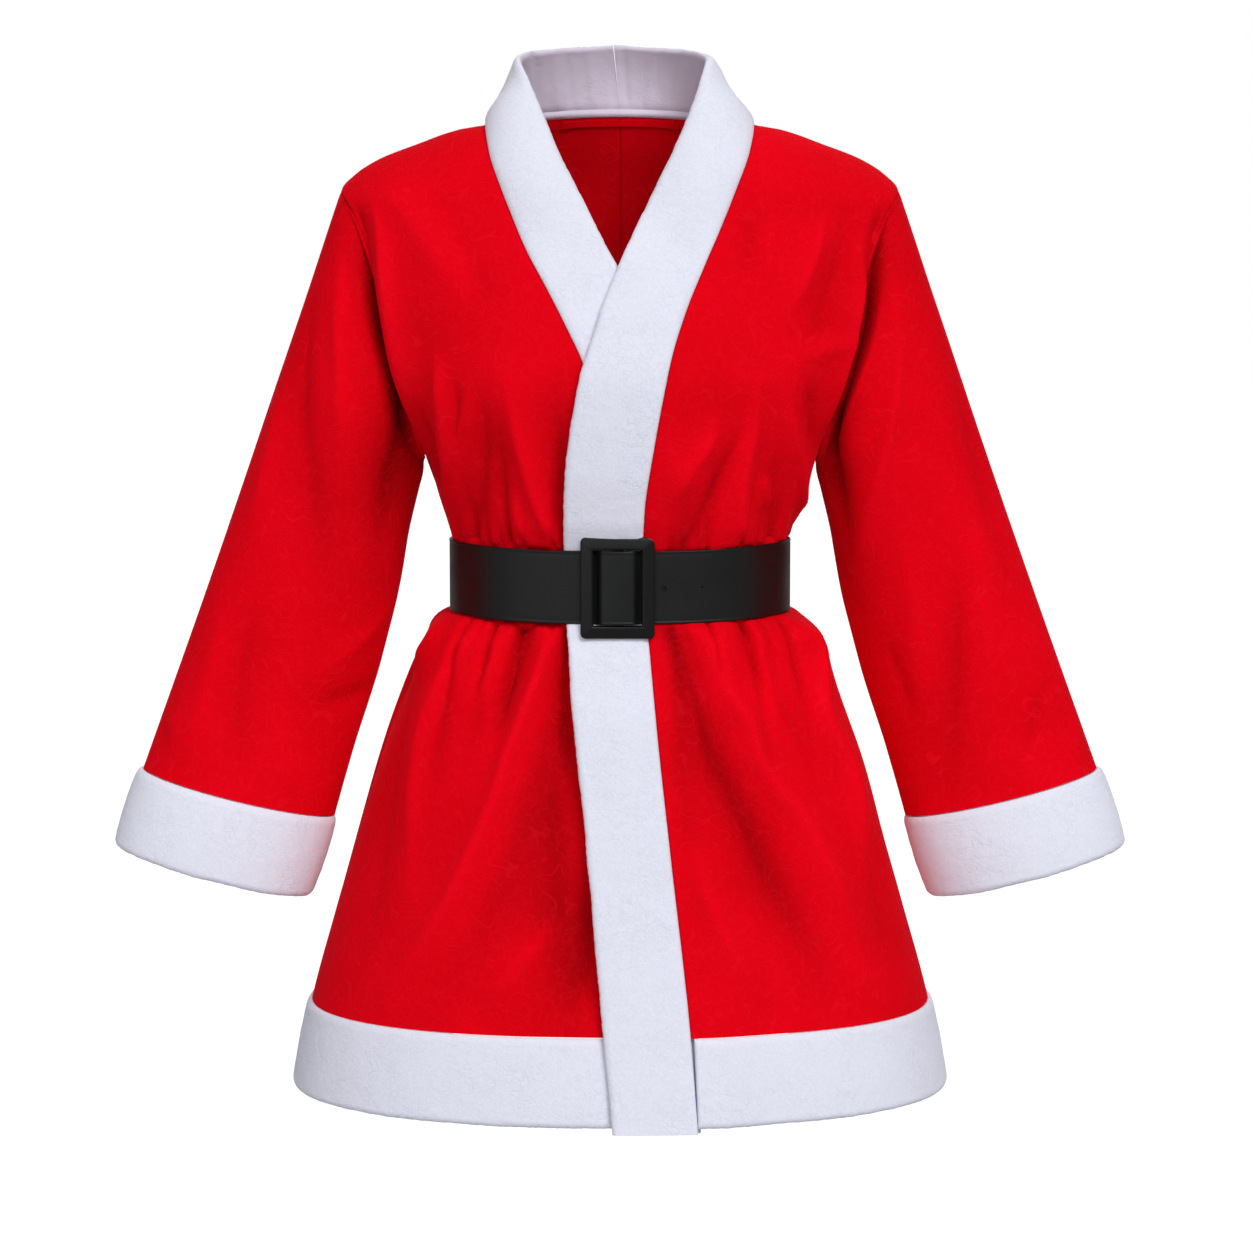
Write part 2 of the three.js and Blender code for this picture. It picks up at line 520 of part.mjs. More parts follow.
// A solid that joins closed rings of points in order, capped at both ends unless it closes on itself.
function loftRings(rings, loop = false) {
  const count = rings[0].length;
  const positions = rings.flatMap((ring) => ring.flatMap((p) => [p.x, p.y, p.z]));
  const faces = [];
  const steps = loop ? rings.length : rings.length - 1;
  for (let i = 0; i < steps; i += 1) {
    const [a, b] = [i * count, ((i + 1) % rings.length) * count];
    for (let j = 0; j < count; j += 1) {
      const k = (j + 1) % count;
      faces.push(a + j, a + k, b + k, a + j, b + k, b + j);
    }
  }
  if (!loop) {
    const end = (rings.length - 1) * count;
    const half = count / 2;
    for (let j = 0; j < half - 1; j += 1) {
      const [p, q, r, s] = [j, j + 1, count - 2 - j, count - 1 - j];
      faces.push(p, s, r, p, r, q);
      faces.push(end + p, end + r, end + s, end + p, end + q, end + r);
    }
  }
  return facingOut(positions, faces);
}

// The front band of one side: up the front edge, round the neck and to the centre back.
const BAND_HEIGHTS = [
  BAND_END_Z, -735, -697, -650, -600, -550, -500, -460, -425, -402, -386, -370, -355, -340, -325, -308, -288, -265,
  -240, -215, -190, -165, -140, -118, -98, -80, -62, -46, -36, -27.5, -18.2, -10.5, -4.8, -1.2,
];
const COLLAR_STEPS = 10;
function frontBand(table, over) {
  const [seamX, edgeX] = [curveThrough(table.seam), curveThrough(table.edge)];
  const [rise, top] = [curveThrough(BAND_RISE), curveThrough(COLLAR_TOP)];
  const stations = BAND_HEIGHTS.map((z) => {
    const edgeZ = z + rise(z);
    const [fromX, toX] = [seamX(z) - SEAM_GAP, edgeX(edgeZ)];
    const sewn = onBody(fromX, z, over);
    const free = onBody(toX, edgeZ, over);
    const lying = (at) => onBody(fromX + (toX - fromX) * at, z + (edgeZ - z) * at, over);
    return { sewn, free, lying, thickness: bandThickness(z), onChest: 1 - smooth(-110, -60, z) };
  });
  const lapelAngle = angleAtX(edgeX(top(0)), top(0));
  for (let i = 0; i <= COLLAR_STEPS; i += 1) {
    const turn = i / COLLAR_STEPS;
    const low = 90 + 90 * turn;
    const high = lapelAngle + (180 - lapelAngle) * turn;
    const sewn = plainBody(low, neckSeamZ(low) + 2 * SEAM_GAP);
    const free = plainBody(high, top(turn));
    stations.push({ sewn, free, lying: null, thickness: FLEECE, onChest: 0 });
  }
  const last = stations.length - 1;
  stations[last].sewn.x = SEAM_GAP / 2;
  stations[last].free.x = SEAM_GAP / 2;
  stations.forEach((s) => {
    s.free.x += (over ? COLLAR_SHIFT : -COLLAR_SHIFT) * smooth(0, 45, s.free.z);
  });
  const rings = stations.map((s, i) => {
    const along = stations[Math.min(i + 1, last)].sewn
      .clone()
      .add(stations[Math.min(i + 1, last)].free)
      .sub(stations[Math.max(i - 1, 0)].sewn)
      .sub(stations[Math.max(i - 1, 0)].free);
    if (i === last) along.set(-1, 0, 0);
    const normal = s.free.clone().sub(s.sewn).cross(along).normalize().negate();
    const bowed = bowedPath(s.sewn, s.free, normal, COLLAR_BOW);
    const path = (at) => (s.onChest > 0 ? bowed(at).lerp(s.lying(at), s.onChest) : bowed(at));
    return stripRing(path, s.free.distanceTo(s.sewn), normal, s.thickness);
  });
  return loftRings(rings);
}
const bandOver = frontBand(OVER_BAND, true);
const bandUnder = mirrored(frontBand(UNDER_BAND, false));

// The hem band in three strips, with a seam at each side.
const HEM_STEP = 7; // degrees
function hemStrip(fromAngle, toAngle, over) {
  const steps = Math.round(Math.abs(toAngle - fromAngle) / HEM_STEP);
  const rings = [];
  for (let i = 0; i <= steps; i += 1) {
    const share = i / steps;
    const angle = fromAngle + (toAngle - fromAngle) * share;
    const at = (z) => {
      const plain = plainBody(angle, z);
      return plain.addScaledVector(outward(angle, z), over ? overLift(plain.x, z) : 0);
    };
    const [sewn, free] = [at(HEM_SEAM_Z - SEAM_GAP), at(HEM_Z)];
    const normal = outward(angle, (HEM_SEAM_Z + HEM_Z) / 2);
    rings.push(stripRing(bowedPath(sewn, free, normal, 1), free.distanceTo(sewn), normal, HEM_FLEECE));
  }
  return loftRings(rings);
}
const hemAngle = (table, gap) => {
  const seam = curveThrough(table.seam);
  return angleAtX(seam(HEM_Z) + gap, HEM_Z);
};
const HEM_SIDE_GAP = degrees(SEAM_GAP / 2 / halfAt(HEM_Z));
const HEM_END_GAP = 1.8; // the hem strip stops this far outside the band's seam, which slants
const hemFrontLeft = hemStrip(hemAngle(OVER_BAND, HEM_END_GAP), 90 - HEM_SIDE_GAP, true);
const hemFrontRight = mirrored(hemStrip(hemAngle(UNDER_BAND, HEM_END_GAP), 90 - HEM_SIDE_GAP, false));
const hemBack = hemStrip(90 + HEM_SIDE_GAP, 270 - HEM_SIDE_GAP, false);

// The sleeve: rings that start as the armhole's own curve and open into an ellipse across the arm.
const onLine = (line, length) => {
  const [[x0, z0], [x1, z1]] = line;
  const share = length / Math.hypot(x1 - x0, z1 - z0);
  return [x0 + (x1 - x0) * share, z0 + (z1 - z0) * share];
};
function ellipsePoint(outer, inner, front, back, shift, around) {
  const [c, s] = [Math.cos(radians(around)), Math.sin(radians(around))];
  const x = (outer[0] + inner[0]) / 2 + ((outer[0] - inner[0]) / 2) * c;
  const z = (outer[1] + inner[1]) / 2 + ((outer[1] - inner[1]) / 2) * c;
  return new THREE.Vector3(x, shift - (s > 0 ? front : back) * s, z);
}
function armholePlace(around) {
  const z = ARMHOLE_MIDDLE + (SHOULDER_Z - ARMHOLE_MIDDLE) * Math.cos(radians(around));
  const behind = Math.sin(radians(around)) < -1e-6;
  return { z, behind, angle: behind ? BACK_SIDE : FRONT_SIDE };
}
function armholePoint(around) {
  const { z, angle } = armholePlace(around);
  return plainBody(angle, z);
}

// How far the sleeve's cloth stands off the armhole's edge: a seam's gap where it goes on in line with the
// body, and a wall's thickness more where it turns back along it.
function sleeveStart(around, alongSleeve) {
  const { z, behind, angle } = armholePlace(around);
  const edge = armholePoint(around + 3).sub(armholePoint(around - 3)).normalize();
  const inside = plainBody(angle + (behind ? 2 : -2), z).sub(plainBody(angle, z));
  if (Math.cos(radians(around)) < -0.999) inside.set(0, 0, -1);
  if (Math.cos(radians(around)) > 0.999) inside.set(-1, 0, 0.1);
  const across = (v) => v.clone().addScaledVector(edge, -v.dot(edge)).normalize();
  const [body, sleeve] = [across(inside), across(alongSleeve)];
  const turned = 1 + body.dot(sleeve);
  const off = outward(angle, z).multiplyScalar((turned * (VELOUR + ARMHOLE_GAP)) / 2);
  return off.addScaledVector(sleeve, ARMHOLE_GAP * (1 - turned / 2));
}
const SLEEVE_LENGTH = SLEEVE[SLEEVE.length - 1].outer;
function sleeveFold(around, share) {
  return SLEEVE_FOLDS.reduce((sum, f) => {
    const t = (share - f.from) / (f.to - f.from);
    if (t <= 0 || t >= 1) return sum;
    const away = (around - f.angle - f.lean * t) / f.width;
    return sum + f.height * Math.exp(-away * away) * Math.sin(Math.PI * t) ** 0.7;
  }, 0);
}
const firstOval = (around) =>
  ellipsePoint(SLEEVE_OUTER[0], SLEEVE_INNER[0], SLEEVE[0].front, SLEEVE[0].back, 0, around);
function sleeveGrid() {
  const starts = Array.from({ length: SLEEVE_COLUMNS }, (_, j) => {
    const around = (360 * j) / SLEEVE_COLUMNS;
    const [outer, inner] = [onLine(SLEEVE_OUTER, SLEEVE[1].outer), onLine(SLEEVE_INNER, SLEEVE[1].inner)];
    const second = ellipsePoint(outer, inner, SLEEVE[1].front, SLEEVE[1].back, 0, around);
    second.addScaledVector(armholePoint(around).sub(firstOval(around)), 1 - smooth(0, ARMHOLE_FADE, SLEEVE[1].outer));
    return sleeveStart(around, second.sub(armholePoint(around)));
  });
  return SLEEVE.map((row, i) => {
    const outer = onLine(SLEEVE_OUTER, row.outer);
    const inner = onLine(SLEEVE_INNER, row.inner);
    const share = row.outer / SLEEVE_LENGTH;
    const fade = 1 - smooth(0, ARMHOLE_FADE, row.outer);
    const centre = new THREE.Vector3((outer[0] + inner[0]) / 2, row.shift, (outer[1] + inner[1]) / 2);
    return Array.from({ length: SLEEVE_COLUMNS }, (_, j) => {
      const around = (360 * j) / SLEEVE_COLUMNS;
      const point = ellipsePoint(outer, inner, row.front, row.back, row.shift, around);
      point.addScaledVector(armholePoint(around).sub(firstOval(around)), fade);
      point.addScaledVector(starts[j], fade);
      if (i === SLEEVE.length - 1) point.addScaledVector(new THREE.Vector3(-0.28, 0, 0.96), SEAM_GAP);
      const away = point.clone().sub(centre).normalize();
      return point.addScaledVector(away, sleeveFold(around, share));
    });
  });
}
const sleevePoints = sleeveGrid();
const ringCentre = (ring) => ring.reduce((sum, p) => sum.add(p), new THREE.Vector3()).multiplyScalar(1 / ring.length);
const sleeveLeft = clothWall(
  sleevePoints,
  gridNormals(sleevePoints, (i) => ringCentre(sleevePoints[i]), true),
  VELOUR,
  true,
);

// The cuff: a doubled fleece strip that goes on from the sleeve's end and flares a little.
function cuffRings() {
  const last = SLEEVE[SLEEVE.length - 1];
  const [outer, inner] = [onLine(SLEEVE_OUTER, last.outer), onLine(SLEEVE_INNER, last.inner)];
  const moved = (p) => [p[0] + CUFF.outX / 2, p[1] - SEAM_GAP];
  const tops = Array.from({ length: SLEEVE_COLUMNS }, (_, j) => {
    const around = (360 * j) / SLEEVE_COLUMNS;
    return {
      sewn: ellipsePoint(moved(outer), moved(inner), last.front, last.back, last.shift, around),
      free: ellipsePoint(CUFF.outer, CUFF.inner, CUFF.front, CUFF.back, CUFF.shift, around),
    };
  });
  return tops.map((s, j) => {
    const next = tops[(j + 1) % tops.length];
    const before = tops[(j + tops.length - 1) % tops.length];
    const along = next.sewn.clone().sub(before.sewn);
    const normal = s.free.clone().sub(s.sewn).cross(along).normalize();
    const centre = ringCentre(tops.map((t) => t.sewn));
    if (normal.dot(s.sewn.clone().sub(centre)) < 0) normal.negate();
    return stripRing(bowedPath(s.sewn, s.free, normal, 1.5), s.free.distanceTo(s.sewn), normal, HEM_FLEECE);
  });
}
const cuffLeft = loftRings(cuffRings(), true);

// A narrow tape of velour that covers the back neck seam inside.
const NECK_TAPE = { height: 5, thickness: 1.2, from: 138, below: 1.6 };
function neckTape() {
  const rings = [];
  const steps = 16;
  for (let i = 0; i <= steps; i += 1) {
    const angle = NECK_TAPE.from + ((360 - 2 * NECK_TAPE.from) * i) / steps;
    const own = angle > 180 ? 360 - angle : angle;
    const top = neckSeamZ(own) - NECK_TAPE.below;
    const corner = (z, depth) => {
      const p = plainBody(own, z).addScaledVector(outward(own, z), -depth);
      return angle > 180 ? p.setX(-p.x) : p;
    };
    const near = VELOUR / 2 + 2 * SEAM_GAP;
    const far = near + NECK_TAPE.thickness;
    const low = top - NECK_TAPE.height;
    rings.push([corner(low, near), corner(top, near), corner(top, far), corner(low, far)]);
  }
  return loftRings(rings);
}

// The belt: a strap round the waist that rises over the buckle's middle bar.
const BELT_STEPS = 76;
const BAR_ARCH = { half: 14.6, height: 6.4 }; // the strap's arch over the bar
const ARCH_FOOT = 3.2;
function beltOffset(angle) {
  const wrapped = angle > 180 ? angle - 360 : angle;
  const onFront = 1 - smooth(34, 62, Math.abs(wrapped + 1));
  const layers = bandThickness(BUCKLE.z) * 1.5 + LIE_GAP;
  return VELOUR / 2 + 0.5 + BELT_THICK / 2 + (layers - VELOUR / 2) * onFront;
}
function archHeight(x) {
  const away = Math.abs(x - BUCKLE.x);
  if (away >= BAR_ARCH.half + ARCH_FOOT) return 0;
  const edge = smooth(BAR_ARCH.half + ARCH_FOOT, BAR_ARCH.half - 4, away);
  return BAR_ARCH.height * edge * (0.72 + 0.28 * Math.sqrt(Math.max(1 - (away / BAR_ARCH.half) ** 2, 0)));
}
function beltAngles() {
  const close = [-20, -17, -14.6, -12.5, -10.5, -7, -3.5, 0, 3.5, 7, 10.5, 12.5, 14.6, 17, 20];
  const near = close.map((x) => angleAtX(x + BUCKLE.x || 0.01, BUCKLE.z));
  const [first, last] = [near[0], near[near.length - 1]];
  const rest = BELT_STEPS - near.length;
  const far = Array.from({ length: rest }, (_, i) => last + ((first + 360 - last) * (i + 1)) / (rest + 1));
  return [...near, ...far];
}
const BELT_MIDDLE = -355;
function beltPoint(angle, z, away) {
  const base = plainBody(angle, BELT_MIDDLE);
  const normal = outward(angle, BELT_MIDDLE);
  const front = Math.cos(radians(angle)) > 0;
  const arch = front ? archHeight(base.x) : 0;
  const point = base.addScaledVector(normal, beltOffset(angle) + away);
  point.y -= arch;
  return point.setZ(z);
}
function beltSolid() {
  const angles = beltAngles();
  const edge = 1.2;
  const section = [
    [BELT_TOP_Z, 0.5], [BELT_TOP_Z - edge, 1], [BELT_BOTTOM_Z + edge, 1], [BELT_BOTTOM_Z, 0.5],
    [BELT_BOTTOM_Z, -1], [BELT_TOP_Z, -1],
  ];
  const middles = angles.map((angle) => beltPoint(angle, BELT_MIDDLE, 0));
  const rings = angles.map((angle, i) => {
    const before = middles[(i + middles.length - 1) % middles.length];
    const after = middles[(i + 1) % middles.length];
    const along = after.clone().sub(before).normalize();
    const normal = along.cross(new THREE.Vector3(0, 0, 1)).normalize();
    return section.map(([z, side]) => middles[i].clone().addScaledVector(normal, (side * BELT_THICK) / 2).setZ(z));
  });
  return loftRings(rings, true);
}

// Joins and cuts with the solid library.
function toManifold(geometry) {
  const bare = geometry.clone();
  bare.deleteAttribute("normal");
  bare.deleteAttribute("uv");
  const merged = mergeVertices(bare, 1e-4);
  return new wasm.Manifold(
    new wasm.Mesh({
      numProp: 3,
      vertProperties: new Float32Array(merged.getAttribute("position").array),
      triVerts: new Uint32Array(merged.getIndex().array),
    }),
  );
}
function fromManifold(solid) {
  const mesh = solid.getMesh();
  const geometry = new THREE.BufferGeometry();
  geometry.setAttribute("position", new THREE.BufferAttribute(new Float32Array(mesh.vertProperties), 3));
  geometry.setIndex(new THREE.BufferAttribute(new Uint32Array(mesh.triVerts), 1));
  return geometry;
}

// Punched holes in the strap beside the buckle.
const HOLES = { x: [33.7, 60.5], z: -356, radius: 2.1, depth: 30, sides: 12 };
function punchedBelt() {
  let strap = toManifold(beltSolid());
  HOLES.x.forEach((x) => {
    const angle = angleAtX(x, BELT_MIDDLE);
    const punch = new THREE.CylinderGeometry(HOLES.radius, HOLES.radius, 12, HOLES.sides);
    const place = beltPoint(angle, HOLES.z, 0);
    punch.applyQuaternion(
      new THREE.Quaternion().setFromUnitVectors(new THREE.Vector3(0, 1, 0), outward(angle, BELT_MIDDLE).setZ(0).normalize()),
    );
    punch.translate(place.x, place.y, place.z);
    strap = strap.subtract(toManifold(punch));
  });
  return fromManifold(strap);
}

// The slide buckle: a moulded frame with bevelled edges and cut corners, and its middle bar.
const BEVEL = 1.3;
function cutCornerOutline(width, height, corner) {
  const [w, h] = [width / 2, height / 2];
  return [
    [-w + corner, -h], [w - corner, -h], [w, -h + corner], [w, h - corner],
    [w - corner, h], [-w + corner, h], [-w, h - corner], [-w, -h + corner],
  ];
}
function buckleGeometry() {
  const { width, height, border, thick, corner } = BUCKLE;
  const [innerW, innerH] = [width - 2 * border, height - 2 * border];
  const level = (inset, y) =>
    cutCornerOutline(width - 2 * inset, height - 2 * inset, Math.max(corner - 0.6 * inset, 0.4)).map(
      ([x, z]) => new THREE.Vector3(x, y, z),
    );
  const window = (inset, y) =>
    cutCornerOutline(innerW + 2 * inset, innerH + 2 * inset, 0.8).map(([x, z]) => new THREE.Vector3(x, y, z));
  const profile = [
    level(0, 0), level(0, -thick + 2.2), level(BEVEL, -thick + 0.5), level(BEVEL + 2.6, -thick),
    window(BEVEL, -thick + 0.9), window(0, -thick + 2.4), window(0, 0),
  ];
  return loftRings(profile, true);
}
const BUCKLE_BACK_GAP = 0.5;
function buckleSolid() {
  const strapFront = Math.min(...[-28, -20, 20, 26].map((x) => {
    const angle = angleAtX(x + BUCKLE.x, BELT_MIDDLE);
    return beltPoint(angle, BELT_MIDDLE, BELT_THICK / 2).y;
  }));
  const backY = strapFront - BUCKLE_BACK_GAP;
  const frame = toManifold(buckleGeometry());
  const bar = new THREE.BoxGeometry(9, 2.4, BUCKLE.height - 2 * BUCKLE.border + 4);
  bar.translate(0, -1.2, 0);
  const joined = fromManifold(frame.add(toManifold(bar)));
  joined.translate(BUCKLE.x, backY, BUCKLE.z);
  return joined;
}

const dress = new THREE.Group();
function add(name, geometry, material) {
  const mesh = new THREE.Mesh(geometry, material);
  mesh.name = name;
  dress.add(mesh);
}
add("front_left", frontLeft, velour);
add("front_right", frontRight, velour);
add("back_left", backLeft, velour);
add("back_right", backRight, velour);
add("sleeve_left", sleeveLeft, velour);
add("sleeve_right", mirrored(sleeveLeft), velour);
add("neck_tape", neckTape(), velour);
add("band_left", bandOver, fleece);
add("band_right", bandUnder, fleece);
add("hem_front_left", hemFrontLeft, fleece);
add("hem_front_right", hemFrontRight, fleece);
add("hem_back", hemBack, fleece);
add("cuff_left", cuffLeft, fleece);
add("cuff_right", mirrored(cuffLeft), fleece);
add("belt_strap", punchedBelt(), leatherette);
add("buckle", buckleSolid(), plastic);

export default dress;
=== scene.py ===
# %% [markdown]
# # A Christmas costume dress
# The dress is a red velour wrap dress with white plush fleece at its front, neck, cuffs and hem, and a
# black belt. It stands open as if someone wore it. This notebook sews it piece by piece, in the order
# of a workshop: the body's shape first, then the red panels, the sleeves, the white bands, the belt.
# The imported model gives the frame: it says where each piece is, and every piece here stands for one of
# its solids.

# %% Load the frame
import json
import math
import bpy
import numpy as np
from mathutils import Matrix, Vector, noise


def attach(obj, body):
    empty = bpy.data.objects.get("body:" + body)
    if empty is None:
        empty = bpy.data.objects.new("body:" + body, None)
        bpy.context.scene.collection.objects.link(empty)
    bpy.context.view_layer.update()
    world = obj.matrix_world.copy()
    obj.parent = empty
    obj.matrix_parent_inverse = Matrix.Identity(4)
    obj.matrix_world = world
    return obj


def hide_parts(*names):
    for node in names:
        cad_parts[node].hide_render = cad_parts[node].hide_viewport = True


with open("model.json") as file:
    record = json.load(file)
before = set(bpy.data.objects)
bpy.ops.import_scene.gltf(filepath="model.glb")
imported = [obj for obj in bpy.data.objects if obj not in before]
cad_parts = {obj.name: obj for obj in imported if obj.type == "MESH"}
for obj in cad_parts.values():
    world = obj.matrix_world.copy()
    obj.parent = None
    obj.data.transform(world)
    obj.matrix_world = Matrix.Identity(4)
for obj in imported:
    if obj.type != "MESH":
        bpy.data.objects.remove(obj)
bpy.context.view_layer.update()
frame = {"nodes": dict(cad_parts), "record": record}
print("pieces of the frame:", len(frame["nodes"]))

# %% [markdown]
# ## The camera
# The photograph looks a little down on the dress, from the distance at which a studio camera with a
# long lens stands. A lens can be found from a picture: the flat ellipses of hem and cuffs give the
# angle from above, and the way the sides spread gives the distance. So the camera is set by those
# numbers, with no shift and no depth of field.

# %% Set the camera
AIM = Vector((0.0056, 0.0, -0.3974))
DISTANCE = 2.664  # m
PITCH = math.radians(6.3)
LENS = 95.6  # mm on a sensor 36 mm wide

camera_data = bpy.data.cameras.new("studio_camera")
camera_data.lens = LENS
camera_data.sensor_width = 36
camera = bpy.data.objects.new("studio_camera", camera_data)
bpy.context.scene.collection.objects.link(camera)
camera.location = AIM + DISTANCE * Vector((0, -math.cos(PITCH), math.sin(PITCH)))
camera.rotation_euler = (math.pi / 2 - PITCH, 0, 0)
bpy.context.scene.camera = camera
print("camera at", [round(v, 3) for v in camera.location])

# %% [markdown]
# ## Curves through a table
# A dressmaker draws a smooth line through a few measured points. Blender has splines for that, but a
# formula gives the line's value at any height at once. This curve never swings past its points, so
# a seam doesn't wave between two measures.

# %% Smooth curves
def curve_through(points):
    table = np.array(sorted(points), float)
    x, y = table[:, 0], table[:, 1]
    step = np.diff(x)
    slope = np.diff(y) / step
    tangent = np.zeros_like(x)
    tangent[0], tangent[-1] = slope[0], slope[-1]
    for i in range(1, len(x) - 1):
        a, b = slope[i - 1], slope[i]
        if a * b > 0:
            u, v = step[i - 1], step[i]
            tangent[i] = 3 * (u + v) / ((2 * v + u) / a + (v + 2 * u) / b)

    def value(at):
        at = np.clip(at, x[0], x[-1])
        i = np.clip(np.searchsorted(x, at, side="right") - 1, 0, len(x) - 2)
        t = (at - x[i]) / step[i]
        return (
            y[i] * (1 + 2 * t) * (1 - t) ** 2
            + tangent[i] * step[i] * t * (1 - t) ** 2
            + y[i + 1] * t * t * (3 - 2 * t)
            + tangent[i + 1] * step[i] * t * t * (t - 1)
        )

    return value


def smooth(start, end, x):
    t = np.clip((np.asarray(x, float) - start) / (end - start), 0, 1)
    return t * t * (3 - 2 * t)


def unit(vectors):
    return vectors / np.maximum(np.linalg.norm(vectors, axis=-1, keepdims=True), 1e-12)


# %% [markdown]
# ## The shape of the worn dress
# Worn cloth is a tube round a figure. It could be draped over a mannequin by simulation, but the
# photograph already shows where it came to rest, so it is easier to measure: at each height, how wide
# the dress is and how deep in front and behind. Between those sections the curves fill in. All
# lengths here are millimetres, z is 0 between the two neck points, and angles run round the body from
# 0 at the centre front, through 90 at the side, to 180 at the back.

# %% Measures of the body
VELOUR = 2.0  # the thickness of each cloth
FLEECE = 7.5
FLEECE_BELTED = 4.6
HEM_FLEECE = 8.0
SEAM_GAP = 0.3  # the gaps between pieces that are sewn together or lie on each other
LIE_GAP = 0.7
LAPEL_GAP = 0.8
ARMHOLE_GAP = 0.5
SEWN_GAP = 0.004
BAND_GAP = 0.05
NECK_HALF = 104.0
NECK_RISE = 9.0
SHOULDER_Z = -50.7
UNDERARM_Z = -262.0
ARMHOLE_MIDDLE = (SHOULDER_Z + UNDERARM_Z) / 2
HEM_SEAM_Z = -695.5
HEM_Z = -764.0
BAND_END_Z = -768.0
BELT_TOP_Z = -327.0
BELT_BOTTOM_Z = -383.5
BELT_MIDDLE = -355.0
BELT_THICK = 2.4
BELT_RISE = 2.2  # the belt lies that much higher at the wearer's sides, and the cloth with it

SECTIONS = [  # height, half width, depth in front, depth behind
    (68, 69, 37, 60.5), (50, 76, 38.5, 63), (36, 82, 41, 65.5), (15, 95, 44, 70),
    (0, NECK_HALF, 47, 74), (-4, 124.9, 49, 76), (-15.6, 158.8, 53.5, 81), (-27.3, 188.9, 58, 86),
    (-39, 207.5, 63, 90.5), (SHOULDER_Z, 217.8, 67, 94), (-70, 207.5, 74, 98), (-116, 190.5, 92, 106),
    (-160, 180.5, 107, 110), (-207, 169.5, 118, 108), (UNDERARM_Z, 153.5, 114.5, 101.5),
    (-288, 144.8, 109.5, 99), (-304, 139.2, 106, 97), (-318, 135.6, 102.5, 95.3),
    (-324.5, 133.8, 100, 94.2), (BELT_TOP_Z, 132, 98, 93), (BELT_BOTTOM_Z, 132, 98, 93),
    (-386, 136, 100.4, 95.6), (-398, 149.8, 102.4, 104), (-420, 161.6, 110, 116),
    (-456, 176, 122, 129), (-505, 192.4, 130, 139), (-554, 207.2, 137.5, 146),
    (-627, 228.5, 148, 156), (HEM_SEAM_Z, 247.3, 157, 164), (BAND_END_Z - 4, 262.5, 166, 172),
]
half_at, front_at, back_at = (curve_through([(row[0], row[k]) for row in SECTIONS]) for k in (1, 2, 3))
armhole_open = curve_through([
    (UNDERARM_Z, 0), (-258, 0.1), (-250, 0.17), (-235, 0.25), (-207, 0.345), (-160, 0.415), (-119, 0.462),
    (-85, 0.505), (SHOULDER_Z, 0.52),
])
CORNER = 2.3  # a section is a little squarer than an ellipse
COLLAR_FROM_Z = 14
print("waist", round(2 * float(half_at(BELT_MIDDLE))), "mm wide")

# %% [markdown]
# A point of the body comes from its angle and height. Above the underarm the section is cut off at the
# armhole, and above the shoulder point it closes along the shoulder line, rounded from front to back.

# %% Points and directions on the body
def shoulder_line(x):
    inside = NECK_HALF - x
    rise = np.maximum(inside, 0)
    low, high = np.full_like(x, SHOULDER_Z), np.zeros_like(x)
    for _ in range(40):
        middle = (low + high) / 2
        wider = half_at(middle) > x
        low, high = np.where(wider, middle, low), np.where(wider, high, middle)
    return np.where(inside >= 0, rise * (0.25 + 0.85 * rise / (rise + 30)), (low + high) / 2)


def oval_turn(width):
    share = np.clip(width, 0, 1 - 1e-12) ** CORNER
    return np.where(width >= 1, 90.0, np.degrees(np.arctan((share / (1 - share)) ** (1 / CORNER))))


def opened(z):
    return half_at(z) / (1 - armhole_open(z) ** CORNER) ** (1 / CORNER)


SHOULDER_HALF = float(opened(SHOULDER_Z))


def whole_half(z):
    above = SHOULDER_HALF + (half_at(z) - SHOULDER_HALF) * smooth(0, COLLAR_FROM_Z, z)
    return np.where(z < SHOULDER_Z, opened(np.minimum(z, SHOULDER_Z)), above)


def plain_body(angle, z):
    angle, z = np.broadcast_arrays(np.asarray(angle, float), np.asarray(z, float))
    wrapped = np.where(angle > 180, angle - 360, angle)
    behind = np.abs(wrapped) > 90
    from_middle = np.where(behind, 180 - np.abs(wrapped), np.abs(wrapped))
    whole = whole_half(z)
    turn = np.radians(from_middle * oval_turn(half_at(z) / whole) / 90)
    across, ahead = np.abs(np.sin(turn)), np.abs(np.cos(turn))
    reach = (across ** CORNER + ahead ** CORNER) ** (-1 / CORNER)
    away = whole * np.sin(turn) * reach
    depth = np.cos(turn) * reach
    roundness = 55 - 13 * smooth(NECK_HALF, 200, away)
    drop = np.clip((shoulder_line(away) - z) / roundness, 0, 1)
    closing = np.sqrt(1 - (1 - drop) ** 2)
    closed = depth * (closing + (1 - closing) * smooth(0, COLLAR_FROM_Z, z))
    depth = np.where((z > UNDERARM_Z) & (z < COLLAR_FROM_Z), closed, depth)
    y = np.where(behind, back_at(z) * depth, -front_at(z) * depth)
    return np.stack([np.sign(wrapped) * away, y, z], axis=-1)


def outward(angle, z):
    angle, z = np.broadcast_arrays(np.asarray(angle, float), np.asarray(z, float))
    sine, cosine = np.sin(np.radians(angle)), np.cos(np.radians(angle))
    aside = np.where(np.abs(cosine) < 0.01, np.sign(sine) * np.where(cosine >= 0, -0.4, 0.4), 0)
    top = np.where((z > -1.5) & (z < 1.5), np.minimum(z, -0.2), z + 0.5)
    along = plain_body(angle + aside + 0.4, z) - plain_body(angle + aside - 0.4, z)
    up = plain_body(angle, top) - plain_body(angle, top - 1)
    return unit(np.cross(along, up))


def angle_at_x(x, z):
    x, z = np.broadcast_arrays(np.asarray(x, float), np.asarray(z, float))
    whole = whole_half(z)
    share = oval_turn(np.abs(x) / whole) / oval_turn(half_at(z) / whole)
    return 90 * np.minimum(share, 1) * np.sign(x)


